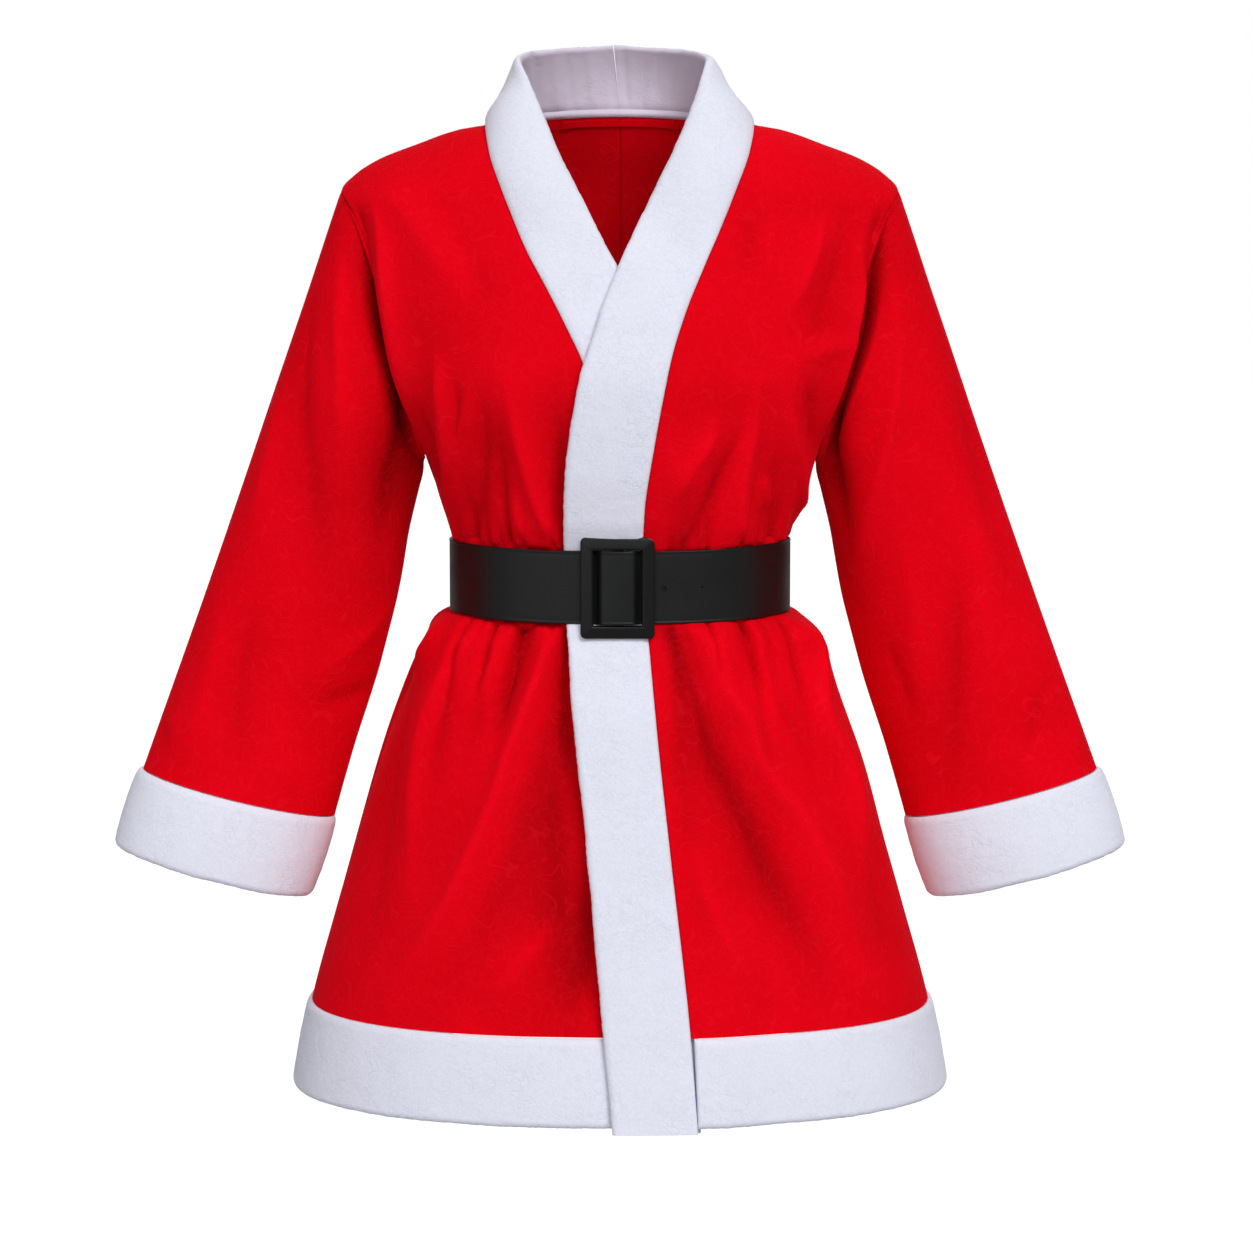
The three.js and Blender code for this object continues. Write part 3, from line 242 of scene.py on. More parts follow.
# %% [markdown]
# ## Closed walls
# Cloth could be a single sheet with a Solidify modifier. Here each piece is a closed wall from the
# start: an outer and an inner grid of points and the rim between them. Then its thickness is real at
# every edge, and its edges can be shaped, thin at a seam and round at a free edge.

# %% Make a mesh from rings or grids
MM = 0.001
FOLD_SHADE_HEIGHT = 9.0  # height of a fold, in mm, that scales the painted shade in its trough and the painted highlight on its crest
pieces = {}
slot_of = {row["node"]: row["material_slot"] for row in frame["record"]["subparts"]}
MADE_OF = {"velour": "velour", "fleece": "fleece", "leatherette": "leatherette", "buckle": "plastic"}


def grid_faces(rows, columns, row_loop, column_loop, offset=0):
    i = np.arange(rows if row_loop else rows - 1)
    j = np.arange(columns if column_loop else columns - 1)
    i, j = (a.ravel() for a in np.meshgrid(i, j, indexing="ij"))
    k, m = (i + 1) % rows, (j + 1) % columns
    return np.stack([i * columns + j, i * columns + m, k * columns + m, k * columns + j], axis=1) + offset


def with_belt_rise(points):
    aside = np.abs(points[:, 0])
    near = np.exp(-(((points[:, 2] - BELT_MIDDLE) / 50) ** 2))
    rise = smooth(40, 130, aside) * (1 - smooth(140, 175, aside)) * near
    return points + np.array([0, 0, BELT_RISE]) * rise[:, None]


def make_piece(name, points, faces, sharp=50):
    if not name.startswith(("sleeve", "cuff")):
        points = with_belt_rise(points)
    corners = points[faces]
    first = np.cross(corners[:, 0], corners[:, 1])
    second = np.cross(corners[:, 2], corners[:, 3])
    volume = np.sum(first * corners[:, 2] + second * corners[:, 0])
    if volume < 0:
        faces = faces[:, ::-1]
    full_name = f"{name}_{MADE_OF[slot_of[name]]}"
    mesh = bpy.data.meshes.new(full_name)
    mesh.from_pydata((points * MM).tolist(), [], faces.tolist())
    mesh.validate()
    mesh.shade_smooth()
    mesh.set_sharp_from_angle(angle=math.radians(sharp))
    piece = bpy.data.objects.new(full_name, mesh)
    bpy.context.scene.collection.objects.link(piece)
    area = sum(p.area for p in mesh.polygons) / 2  # half, because a wall has two sides
    pieces[name] = piece
    print(f"{name}: {len(faces)} faces, {area:.4f} m2 of cloth")
    return piece


def say(piece, name, values):  # a value at each point, which a material can read
    attribute = piece.data.attributes.new(name, "FLOAT", "POINT")
    attribute.data.foreach_set("value", values.ravel().astype(np.float32))


def wall_piece(name, outer, inner, height, loop=False):
    rows, columns = outer.shape[:2]
    count = rows * columns
    front = grid_faces(rows, columns, False, loop)
    back = grid_faces(rows, columns, False, loop, count)[:, ::-1]
    j = np.arange(columns if loop else columns - 1)
    m = (j + 1) % columns
    last = (rows - 1) * columns
    bottom = np.stack([j, j + count, m + count, m], axis=1)
    top = np.stack([last + j, last + m, last + m + count, last + j + count], axis=1)
    faces = [front, back, bottom, top]
    if not loop:
        i = np.arange(rows - 1) * columns
        k = i + columns
        faces.append(np.stack([i, k, k + count, i + count], axis=1))
        e = columns - 1
        faces.append(np.stack([i + e, i + e + count, k + e + count, k + e], axis=1))
    points = np.concatenate([outer.reshape(-1, 3), inner.reshape(-1, 3)])
    piece = make_piece(name, points, np.concatenate(faces))
    # The fold's height goes into the pile attribute, from which the velour paints shade in troughs and a
    # highlight on crests.
    say(piece, "pile", np.tile(np.clip(height / FOLD_SHADE_HEIGHT, -3, 1).ravel(), 2))
    return piece


def ring_piece(name, rings, loop=False, sharp=50):
    count, around = rings.shape[:2]
    faces = [grid_faces(count, around, loop, True)]
    if not loop:
        j = np.arange(around // 2 - 1)
        cap = np.stack([j, j + 1, around - 2 - j, around - 1 - j], axis=1)
        faces += [cap[:, ::-1], cap + (count - 1) * around]
    return make_piece(name, rings.reshape(-1, 3), np.concatenate(faces), sharp)


def mirrored(points):
    return points * np.array([-1.0, 1.0, 1.0])


# %% [markdown]
# ## Gathers and folds
# The belt draws the cloth in, so short troughs run up and down from it, deepest next to the belt and
# gone within a hand's width. Longer soft folds hang from the bust and spread into the skirt. A cloth
# simulation would invent its own folds; these are drawn where the photograph has them, each a
# line with its own height, so that no two are alike. Hidden sides get similar ones. A fold's section
# is a bell curve, and it fades towards its end.

# %% Tables of gathers and folds
GATHERS = {  # x at the belt, depth and reach below it, depth and reach above it
    "front_left": [
        (37, 8, 70, 2.4, 26), (46, 1.2, 20, 3.9, 34), (58, 1, 40, 2.7, 22), (64, 6.5, 55, 3.9, 60),
        (91, 7, 70, 4, 40), (104, 1.5, 34, 2.7, 22), (119, 7, 60, 3.3, 40), (131, 1.5, 30, 3.6, 36),
        (143, 2.5, 34, 2.4, 22),
    ],
    "front_right": [
        (50, 2, 30, 3.3, 40), (73, 7, 60, 2.7, 24), (84, 1, 22, 3.6, 50), (91, 7.5, 55, 2.4, 22),
        (101, 1.2, 26, 2.7, 24), (112, 8, 75, 3, 46), (124, 1.5, 26, 2.7, 30), (142, 6.5, 70, 3.6, 34),
        (133, 0.8, 22, 2.4, 24),
    ],
    "back_left": [
        (16, 4.5, 60, 3.9, 44), (34, 6, 90, 3.3, 30), (48, 3.3, 34, 4.8, 60), (66, 5.7, 110, 3.6, 36),
        (80, 3.3, 30, 4.5, 52), (97, 6, 80, 3.3, 30), (112, 3.9, 50, 4.5, 48), (126, 5.1, 70, 3.3, 30),
        (140, 3.3, 36, 3.6, 36),
    ],
    "back_right": [
        (12, 5.1, 80, 3.3, 34), (29, 3.6, 44, 4.8, 58), (44, 6, 100, 3.3, 30), (60, 3.6, 40, 4.2, 46),
        (76, 5.7, 90, 3.3, 30), (90, 3.3, 34, 4.8, 60), (106, 5.4, 100, 3.6, 36), (121, 3.6, 44, 3.9, 40),
        (137, 4.8, 70, 3.3, 30),
    ],
}
FOLDS = {  # a line of (x, z) places, its half width, its height: a trough where it is below 0
    "front_left": [
        ([(192, -72), (185, -109), (184, -130), (178, -171), (171, -213), (158, -263)], 9.2, 10.4),
        ([(203, -63), (199, -101), (194, -128)], 6.4, -6.2),
        ([(160, -68), (150, -101), (139, -127), (128, -152)], 9.2, 7.1),
        ([(176, -58), (171, -90), (162, -125), (152, -160), (146, -185)], 10, -2.5),
        ([(184, -166), (162, -173), (134, -183)], 8, 4), ([(169, -152), (148, -163)], 7.4, -1),
        ([(144, -346), (143, -318), (142, -296), (137, -263), (131, -226), (132, -196)], 7.4, 7.1),
        ([(147, -191), (149, -229), (150, -263)], 8.3, -5.2),
        ([(91, -346), (91, -321), (91, -291), (95, -261), (102, -232), (106, -203)], 7.4, 8.4),
        ([(76, -217), (66, -243), (48, -268), (33, -297)], 10.1, 7.1),
        ([(34, -346), (45, -324), (62, -291), (80, -260), (99, -225)], 8.5, -6.5),
        ([(110, -269), (115, -300)], 6.4, 5.2),
        ([(116, -346), (117, -318), (118, -285), (121, -252)], 7, -5),
        ([(112, -75), (114, -128)], 8.3, 3.2), ([(99, -60), (100, -128)], 8.3, -3.2),
        ([(32, -360), (37, -389), (48, -415), (59, -452), (71, -487), (98, -537), (117, -579),
          (143, -627), (165, -672)], 13.8, -10),
        ([(62, -380), (67, -402), (76, -434), (96, -459), (108, -492), (139, -536), (159, -575),
          (177, -615), (190, -662)], 12, 9.7),
        ([(90, -372), (95, -396), (103, -416), (114, -438), (132, -464), (149, -490)], 8.3, -6.5),
        ([(100, -372), (104, -400), (112, -432), (122, -455), (136, -478)], 7.4, 8.4),
        ([(132, -372), (140, -396), (154, -416), (158, -460), (177, -500), (189, -547),
          (193, -592)], 8.3, 9.3),
        ([(190, -535), (197, -585), (205, -620), (217, -664)], 9, -2.5),
        ([(52, -543), (61, -577), (84, -630), (111, -680)], 12.9, 7.1),
        ([(40, -441), (46, -516), (54, -577)], 10.1, -2),
    ],
    "front_right": [
        ([(195, -53), (187, -76), (182, -103), (177, -136), (171, -171), (164, -202),
          (153, -252)], 9.2, 10.4),
        ([(204, -60), (200, -90), (194, -120)], 6.4, -6.2),
        ([(194, -42), (163, -72), (132, -116), (110, -141)], 22.1, 6.2),
        ([(146, -52), (115, -106), (91, -159)], 20.2, -3),
        ([(141, -171), (137, -210), (135, -244), (133, -283)], 8.3, 7.5),
        ([(157, -210), (148, -244), (142, -293)], 9.2, -7.5),
        ([(128, -190), (124, -225), (124, -262)], 7, -3.6),
        ([(115, -195), (121, -232), (130, -262), (135, -298)], 6.4, 6.2),
        ([(117, -346), (114, -324), (111, -300), (106, -261), (104, -235), (106, -204)], 9.2, -5.5),
        ([(38, -346), (48, -324), (63, -291), (75, -250), (81, -227), (88, -198)], 9.2, 7.5),
        ([(81, -346), (84, -325), (88, -297), (90, -265), (93, -222)], 7, -3.5),
        ([(64, -346), (71, -325), (78, -305), (81, -275)], 5.5, 5.2),
        ([(43, -346), (44, -310), (45, -260), (50, -205)], 11, -7.5),
        ([(104, -372), (112, -395), (130, -421), (147, -447), (156, -478), (161, -523),
          (163, -598)], 9.2, 6),
        ([(88, -372), (92, -398), (98, -420), (109, -440), (128, -454)], 6.4, 7.1),
        ([(50, -372), (56, -405), (69, -442), (84, -480), (96, -518), (115, -564), (135, -603),
          (162, -643), (182, -675)], 11, 10.9),
        ([(66, -372), (73, -393), (79, -415), (90, -445), (104, -480)], 9.2, -8.4),
        ([(36, -372), (42, -404), (44, -441), (42, -480), (40, -515)], 11.5, -11),
        ([(48, -600), (60, -622), (84, -650), (112, -684)], 12, 6),
        ([(22, -560), (24, -610), (32, -650), (46, -690)], 16, -8),
        ([(142, -372), (160, -428), (169, -473), (179, -526), (191, -603), (212, -675)], 12, -3),
        ([(58, -460), (70, -520), (90, -580), (112, -625), (138, -676)], 17, -3.5),
        ([(136, -378), (145, -400), (158, -418), (168, -434)], 5.5, 6.7),
        ([(60, -440), (52, -550), (44, -690)], 26, -8),
    ],
    "back_left": [
        ([(192, -70), (184, -120), (176, -170), (160, -245)], 9.2, 10.4),
        ([(168, -64), (158, -110), (142, -160)], 10.1, -7.5),
        ([(120, -60), (104, -110), (84, -170)], 18.4, 5.5),
        ([(150, -190), (142, -240), (138, -300)], 8.3, -7.1),
        ([(79, -346), (84, -324), (92, -290), (104, -240), (112, -190)], 9.2, 8.4),
        ([(56, -346), (60, -318), (66, -270), (80, -220)], 8.3, -8.4),
        ([(51, -346), (46, -312), (38, -260), (40, -200)], 10.1, 6.2),
        ([(127, -346), (126, -320), (124, -270), (128, -230)], 7.4, 6.7),
        ([(22, -372), (28, -420), (40, -500), (52, -580), (66, -670)], 13.8, 10.4),
        ([(46, -372), (56, -420), (76, -500), (98, -580), (118, -660)], 12, -12.6),
        ([(70, -372), (84, -420), (108, -490), (134, -560), (160, -620)], 10.1, 9.7),
        ([(96, -372), (110, -410), (128, -450), (146, -490)], 8.3, -9.7),
        ([(120, -372), (138, -420), (160, -480), (182, -560), (196, -650)], 10.1, 9.7),
        ([(150, -540), (170, -600), (186, -680)], 12, -9.3),
        ([(12, -480), (16, -560), (26, -650)], 11, -7.5),
    ],
    "back_right": [
        ([(194, -68), (188, -120), (172, -190), (158, -250)], 9.2, 9.7),
        ([(172, -62), (166, -104), (150, -150)], 9.2, -8.4),
        ([(130, -56), (120, -120), (96, -180)], 16.6, 5.1),
        ([(128, -346), (130, -310), (134, -250), (146, -200)], 9.2, -7.5),
        ([(97, -346), (100, -324), (104, -290), (112, -250), (120, -210)], 8.3, 8),
        ([(65, -346), (70, -310), (78, -250), (92, -200)], 9.2, -9.3),
        ([(30, -346), (36, -316), (48, -260), (56, -210)], 10.1, 6.7),
        ([(27, -346), (24, -318), (20, -280), (24, -230)], 9.2, -5.5),
        ([(14, -372), (18, -430), (22, -500), (32, -590), (46, -680)], 12, -10.4),
        ([(34, -372), (44, -420), (60, -490), (84, -570), (106, -660)], 12.9, 11.3),
        ([(60, -372), (74, -420), (98, -490), (126, -570), (150, -650)], 11, -11.3),
        ([(86, -372), (104, -420), (130, -480), (156, -540), (172, -600)], 9.2, 9.7),
        ([(112, -372), (126, -410), (146, -450), (158, -490)], 8.3, -8.8),
        ([(132, -372), (152, -430), (176, -500), (192, -580), (204, -660)], 10.1, 9.3),
        ([(60, -590), (74, -630), (92, -684)], 11, -6.2),
    ],
}
GATHER_WIDTH = 2.7
GATHER_FULL = 3.0  # a gather is fully deep this far from the belt
GATHER_FAN = 0.7  # how far a gather spreads with the cloth
EDGE_CLEAR = 1.8  # the cloth starts to swell this far under the belt's lower edge
CREST = 0.3  # how round a fold is at its crest
ROUNDING = 5  # steps of a fold's line between two places


def rounded_line(places):
    p = np.array(places, float)
    p = np.concatenate([[2 * p[0] - p[1]], p, [2 * p[-1] - p[-2]]])
    t = (np.arange(ROUNDING) / ROUNDING)[:, None]
    parts = []
    for a, b, c, d in zip(p, p[1:], p[2:], p[3:]):
        parts.append(b + t / 2 * (c - a + t * (2 * a - 5 * b + 4 * c - d + t * (3 * b - a - 3 * c + d))))
    return np.concatenate([*parts, p[-2:-1]])


def folding(table, u, v):
    total = np.zeros(np.broadcast(u, v).shape)
    for places, width, height in table:
        line = rounded_line(places)
        ends = zip(line[:-1], line[1:])
        steps = np.linalg.norm(np.diff(line, axis=0), axis=1)
        run = np.append(0, np.cumsum(steps)) / steps.sum()
        nearest = np.full(total.shape, 1e9)
        along = np.zeros(total.shape)
        for k, ((u0, v0), (u1, v1)) in enumerate(ends):
            du, dv = u1 - u0, v1 - v0
            t = np.clip(((u - u0) * du + (v - v0) * dv) / (du * du + dv * dv), 0, 1)
            away = (u - u0 - t * du) ** 2 + (v - v0 - t * dv) ** 2
            closer = away < nearest
            nearest = np.where(closer, away, nearest)
            along = np.where(closer, run[k] + (run[k + 1] - run[k]) * t, along)
        spread = width * (0.75 + 0.4 * along)
        bell = np.exp(-1.25 * (np.sqrt(nearest / spread ** 2 + CREST ** 2) - CREST))
        held = BELT_BOTTOM_Z < places[0][1] < BELT_TOP_Z
        fade = (1.0 if held else smooth(-0.04, 0.4, along)) * (1 - 0.85 * smooth(0.62, 1.02, along))
        total = total + height * fade * bell
    return total


def from_belt(z):
    below = z <= BELT_BOTTOM_Z
    return np.maximum(np.where(below, BELT_BOTTOM_Z - EDGE_CLEAR - z, z - BELT_TOP_Z), 0), below


def gathering(table, x, z):
    away, below = from_belt(z)
    waist = float(half_at(BELT_MIDDLE))
    from_axis = x / (1 + GATHER_FAN * (half_at(z) / waist - 1))
    total = np.zeros_like(x * z)
    for at, depth_below, reach, depth_above, rise in table:
        depth = np.where(below, depth_below, depth_above)
        length = np.where(below, reach, rise)
        width = GATHER_WIDTH * (0.8 + away / length)
        fade = np.exp(-((away / length) ** 1.5)) * smooth(0, GATHER_FULL, away)
        total = total - depth * fade * np.exp(-(((from_axis - at) / width) ** 2))
    return total


# %% [markdown]
# ## How the wrap lies
# The wearer's left front lies over the right one, so it is lifted off the body by the band under it.
# The lift dies away above the place where the two bands cross, and beyond the hidden band's edge.

# %% The two front edges and the lift
OVER_SEAM = curve_through([
    (-772, 59.4), (-690, 52.9), (-554, 37.7), (-463, 27.8), (-395, 21.7), (-327, 17.5), (-295, 18.6),
    (-249, 25.3), (-204, 33.7), (-173, 41.3), (-143, 51.3), (-113, 63.7), (-83, 77), (-52, 89.6),
    (-21, 100.8), (-5, 103.7), (0, NECK_HALF),
])
OVER_EDGE = curve_through([
    (-772, -5), (-690, -12.7), (-554, -25), (-418, -38.1), (-327, -42), (-265, -40), (-204, -31.6),
    (-158, -18), (-113, -1.3), (-52, 26.4), (-5.6, 48.6), (20, 60.5), (36, 66.5),
])
UNDER_SEAM = curve_through([
    (-772, 0), (-695, 2), (-500, 8), (-383, 10), (-327, 10), (-250, 14), (-205, 21), (-182, 28.6),
    (-158, 40), (-128, 55.5), (-98, 71.8), (-67, 85), (-52, 91), (-21, 101.5), (-5, 103.8),
    (0, NECK_HALF),
])
UNDER_EDGE = curve_through([
    (-772, -62), (-695, -60), (-500, -54), (-383, -52), (-327, -52), (-250, -48), (-205, -41),
    (-182, -33), (-143, -16), (-111.7, 0.5), (-83, 16.6), (-52, 32.1), (-5.6, 54.5), (20, 62.5),
    (36, 66.5),
])


def band_thickness(z):
    belted = smooth(BELT_BOTTOM_Z - 32, BELT_BOTTOM_Z - 14, z)
    belted = belted * (1 - smooth(BELT_TOP_Z + 1, BELT_TOP_Z + 26, z))
    return FLEECE + (FLEECE_BELTED - FLEECE) * belted


def on_hidden_band(x, z):
    edge = -UNDER_EDGE(z)
    return 1 - smooth(edge + 6, edge + 62, x)


def over_lift(x, z):
    at_hem = (HEM_FLEECE - FLEECE) * (1 - smooth(HEM_SEAM_Z, HEM_SEAM_Z + 40, z))
    full = band_thickness(z) + LIE_GAP + LAPEL_GAP * smooth(-310, -270, z) + at_hem
    return full * (1 - smooth(-108, -52, z)) * on_hidden_band(x, z)


def swelling(z, heights, reaches, full):  # two values are those below and above the belt
    away, below = from_belt(z)
    height, reach, full = (np.where(below, *pair) for pair in (heights, reaches, full))
    return height * np.exp(-((away / reach) ** 1.5)) * smooth(0, 1, away / full)


def on_body(x, z, over):
    angle = angle_at_x(x, z)
    lift = over_lift(x, z) if over else 0 * z
    return plain_body(angle, z) + outward(angle, z) * lift[..., None]


def neck_seam_z(angle):
    return NECK_RISE * np.abs(np.sin(np.radians(np.abs(angle) - 90))) ** 0.7


# %% [markdown]
# ## The red panels
# Four panels of velour make the body: two fronts and two backs. Each is a grid whose columns run from
# its front or centre seam to its side, and whose rows follow the heights. Near a seam the cloth dips,
# because a sewn edge is turned inwards, and that dip and a painted shade along the seam draw it as a
# soft dark line.

# %% Build the four panels
PANEL_COLUMNS = 148
SLEEVE_COLUMNS = 144
SEAM_DIP = 0.6
SEAM_DIP_WIDTH = 2.6
SEAM_PRESS = 1.1  # how wide the cloth is pressed thin beside a seam
SEAM_SHADE_WIDTH = 0.9  # how wide and how deep a painted shade darkens the seam
SEAM_SHADE_DEPTH = 6

edge_turns = np.array([0, 0.0022, 0.0048])
turns = np.concatenate([edge_turns, np.linspace(0.009, 0.985, PANEL_COLUMNS - 6), 1 - 2 * edge_turns[::-1]])
PANEL_SHARES = 0.55 * turns + 0.45 * np.sin(turns * math.pi / 2)
armhole_turns = 2 * math.pi * np.arange(1, SLEEVE_COLUMNS // 2) / SLEEVE_COLUMNS
ARMHOLE_ROWS = ARMHOLE_MIDDLE - (SHOULDER_Z - ARMHOLE_MIDDLE) * np.cos(armhole_turns)
PANEL_ROWS = np.concatenate([
    np.linspace(HEM_SEAM_Z, -420, 62, endpoint=False),
    np.linspace(-420, -392, 9, endpoint=False),
    np.linspace(-392, BELT_BOTTOM_Z, 8, endpoint=False),
    np.linspace(BELT_BOTTOM_Z, BELT_TOP_Z, 4, endpoint=False),
    np.linspace(BELT_TOP_Z, -318, 8, endpoint=False),
    np.linspace(-318, UNDERARM_Z, 17, endpoint=False),
    [UNDERARM_Z], ARMHOLE_ROWS, [SHOULDER_Z],
    np.linspace(SHOULDER_Z, -2, 22)[1:],
])


def draw_in(grid, by):
    result = grid.copy()
    result[:, 0] += unit(grid[:, 1] - grid[:, 0]) * by
    result[:, -1] += unit(grid[:, -2] - grid[:, -1]) * by
    edged = result.copy()
    edged[0] += unit(result[1] - result[0]) * by
    edged[-1] += unit(result[-2] - result[-1]) * by
    return edged


def grid_normals(grid, guide, loop=False):
    if loop:
        along = np.roll(grid, -1, axis=1) - np.roll(grid, 1, axis=1)
    else:
        along = np.gradient(grid, axis=1)
    normals = unit(np.cross(along, np.gradient(grid, axis=0)))
    facing = np.sum(normals * guide, axis=-1, keepdims=True)
    return np.where(facing < 0, -normals, normals)


def panel(name, start_angle, side_angle, heights, over=False, neck=False):
    z = np.repeat(heights[:, None], PANEL_COLUMNS, axis=1)
    start = start_angle(heights)[:, None]
    angle = start + (side_angle - start) * PANEL_SHARES[None, :]
    share = np.repeat(PANEL_SHARES[None, :], len(heights), axis=0)
    if neck:
        z = np.where(z > -NECK_RISE, z + neck_seam_z(angle) * (1 + z / NECK_RISE), z)
    plain = plain_body(angle, z)
    normal = outward(angle, z)
    soft = np.sin(math.pi * np.minimum(np.minimum(share * 7, (1 - share) * 9), 0.5))
    x = np.abs(plain[..., 0])
    folds = folding(FOLDS[name], x, z)
    clear = from_belt(z)[0]
    folds = folds * np.where(folds > 0, smooth(0, 20, clear), smooth(0, GATHER_FULL, clear))
    away = (gathering(GATHERS[name], x, z) + folds) * soft
    height = away
    away = away + swelling(z, (2.4, 1.2), (45, 30), (3, 3)) * soft
    if over:
        away = away + swelling(z, (3.6, 4.0), (110, 70), (7, 6)) * on_hidden_band(x, z) * soft
        under_band = 1 - smooth(3 - UNDER_EDGE(z), 16 - UNDER_EDGE(z), x)
        kept_clear = (away + np.sqrt(away ** 2 + 1.0)) / 2
        away = away + (kept_clear - away) * under_band + over_lift(x, z)
    to_side = np.linalg.norm(plain - plain[:, -1:], axis=-1)
    to_start = np.linalg.norm(plain - plain[:, :1], axis=-1)
    away = away - SEAM_DIP * np.exp(-((to_side / SEAM_DIP_WIDTH) ** 2))
    pressed = np.exp(-((to_side / SEAM_PRESS) ** 2)) + np.exp(-((to_start / SEAM_PRESS) ** 2))
    half = VELOUR / 2 * (1 - 0.7 * pressed)[..., None]
    # Painted shade along the seams: the fold height that the velour colours by is lowered there.
    height = height - SEAM_SHADE_DEPTH * np.exp(-((np.minimum(to_side, to_start) / SEAM_SHADE_WIDTH) ** 2))
    grid = draw_in(plain + normal * away[..., None], SEWN_GAP / 2)
    normals = grid_normals(grid, normal)
    for edge in ((slice(None), 0), (slice(None), -1), (0,), (-1,)):
        normals[edge] = normal[edge]
    outer, inner = grid + normals * half, grid - normals * half
    if name.endswith("right"):
        outer, inner = mirrored(outer), mirrored(inner)
    wall_piece(name, outer, inner, height)


panel("front_left", lambda z: angle_at_x(OVER_SEAM(z) + BAND_GAP, z), 90.0, PANEL_ROWS, over=True)
panel("front_right", lambda z: angle_at_x(UNDER_SEAM(z) + BAND_GAP, z), 90.0, PANEL_ROWS)
BACK_ROWS = np.append(PANEL_ROWS, 0.0)
for side in ("left", "right"):
    panel(f"back_{side}", lambda z: np.full_like(z, 180.0), 90 + 1e-6, BACK_ROWS, neck=True)

# %% [markdown]
# ## The sleeves
# A set-in sleeve starts as the armhole's own curve and opens into an oval across the arm. It could be
# lofted between curve objects; the same table-driven grid as the body's keeps its first ring exactly
# on the armhole. Long soft folds run down it, as in any straight sleeve that hangs from a shoulder.

# %% Build the sleeves
SLEEVE_OUTER = ((217.8, SHOULDER_Z), (378.5, -507.0))
SLEEVE_INNER = ((153.0, UNDERARM_Z), (228.5, -545.0))
SLEEVE = np.array([  # length along the outer and inner edge, depth in front and behind, shift back
    (0, 0, 44, 46, 0), (26, 5, 47, 54, 0), (60, 10, 51, 57, 0), (100, 17, 54, 59, 1),
    (145, 27.5, 56, 60, 2), (190, 45, 56, 59, 3), (236, 73.5, 55, 57, 4), (284, 110, 54, 55, 3),
    (332, 153.5, 53, 53, 0), (376, 194.5, 52, 51, -5), (416, 231, 51, 49, -11), (450, 263, 50, 48, -17),
    (483.8, 292.9, 49, 47, -22),
])
SLEEVE_FOLDS = {  # a line of places, degrees round it and mm down it, then half width and height
    "sleeve_left": [
        ([(46, 20), (62, 62), (80, 110), (98, 155), (118, 200), (150, 262)], 10, 5),
        ([(10, -45), (46, -4), (72, 20), (98, 27), (114, 32), (130, 43), (148, 74), (154, 120)], 15, -20),
        ([(116, -40), (136, 26), (148, 72), (151, 120), (151, 180), (151, 250)], 16, -15),
        ([(40, 10), (72, 42), (98, 49), (116, 56), (134, 72), (150, 100)], 8, 4),
        ([(180, 210), (180, 300), (180, 430)], 18, 4),
        ([(70, 270), (80, 310), (94, 358), (112, 421), (126, 478)], 9, -4.6),
        ([(52, 250), (62, 305), (80, 397)], 11, 3), ([(138, 320), (132, 416)], 10, -3),
        ([(36, 400), (74, 455)], 8, -3), ([(20, 120), (34, 220), (44, 330)], 14, -3),
        ([(104, 250), (112, 320), (128, 400)], 12, 3), ([(14, 430), (40, 470)], 7, 2.4),
        ([(236, 40), (250, 140), (262, 260), (268, 380)], 14, -5),
        ([(292, 60), (286, 180), (276, 300)], 14, 4), ([(208, 30), (214, 120), (220, 220)], 12, 4),
        ([(318, 200), (306, 320), (300, 430)], 13, -3.6), ([(232, 300), (246, 380), (250, 460)], 11, 3.4),
    ],
    "sleeve_right": [
        ([(30, 16), (40, 36), (60, 70), (78, 116), (96, 200)], 10, 5),
        ([(10, -56), (46, -16), (76, 10), (102, 10), (120, 13), (136, 26), (147, 64),
          (150, 115)], 19, -17),
        ([(100, -50), (122, 10), (136, 60), (139, 120), (140, 180), (142, 270)], 23, -14),
        ([(180, 210), (180, 300), (180, 430)], 18, 4),
        ([(18, 60), (40, 116), (58, 169), (82, 223), (100, 271), (126, 320)], 13, -4.4),
        ([(20, 125), (36, 208), (50, 295)], 11, 3.4), ([(180, 363), (140, 382), (116, 394)], 9, -3.4),
        ([(176, 290), (144, 329), (110, 376)], 9, 3), ([(64, 320), (72, 390), (90, 470)], 11, -3),
        ([(44, 330), (50, 400), (58, 470)], 10, 2.6), ([(12, 440), (36, 462)], 6, -2.4),
        ([(100, 400), (112, 440), (130, 474)], 9, 2.6),
        ([(240, 30), (252, 130), (258, 250), (272, 360)], 14, -5),
        ([(290, 80), (280, 200), (270, 290)], 14, 4), ([(206, 40), (216, 130), (218, 240)], 12, 4),
        ([(322, 180), (310, 300), (302, 420)], 13, -3.6), ([(228, 280), (240, 360), (250, 470)], 11, 3.4),
    ],
}
ARMHOLE_FADE = 90  # the armhole's shape is gone this far down the sleeve
SLEEVE_ROWS = 118


def on_line(line, length):
    (x0, z0), (x1, z1) = line
    share = length / math.hypot(x1 - x0, z1 - z0)
    return x0 + (x1 - x0) * share, z0 + (z1 - z0) * share


def oval_point(outer, inner, front, back, shift, around):
    c, s = np.cos(np.radians(around)), np.sin(np.radians(around))
    x = (outer[0] + inner[0]) / 2 + (outer[0] - inner[0]) / 2 * c
    z = (outer[1] + inner[1]) / 2 + (outer[1] - inner[1]) / 2 * c
    y = shift - np.where(s > 0, front, back) * s
    return np.stack(np.broadcast_arrays(x, y, z), axis=-1)


def armhole_place(around):
    z = ARMHOLE_MIDDLE + (SHOULDER_Z - ARMHOLE_MIDDLE) * np.cos(np.radians(around))
    behind = np.sin(np.radians(around)) < -1e-6
    return z, behind, np.where(behind, 90 + 1e-6, 90.0)


def armhole_point(around):
    z, _, angle = armhole_place(around)
    return plain_body(angle, z)


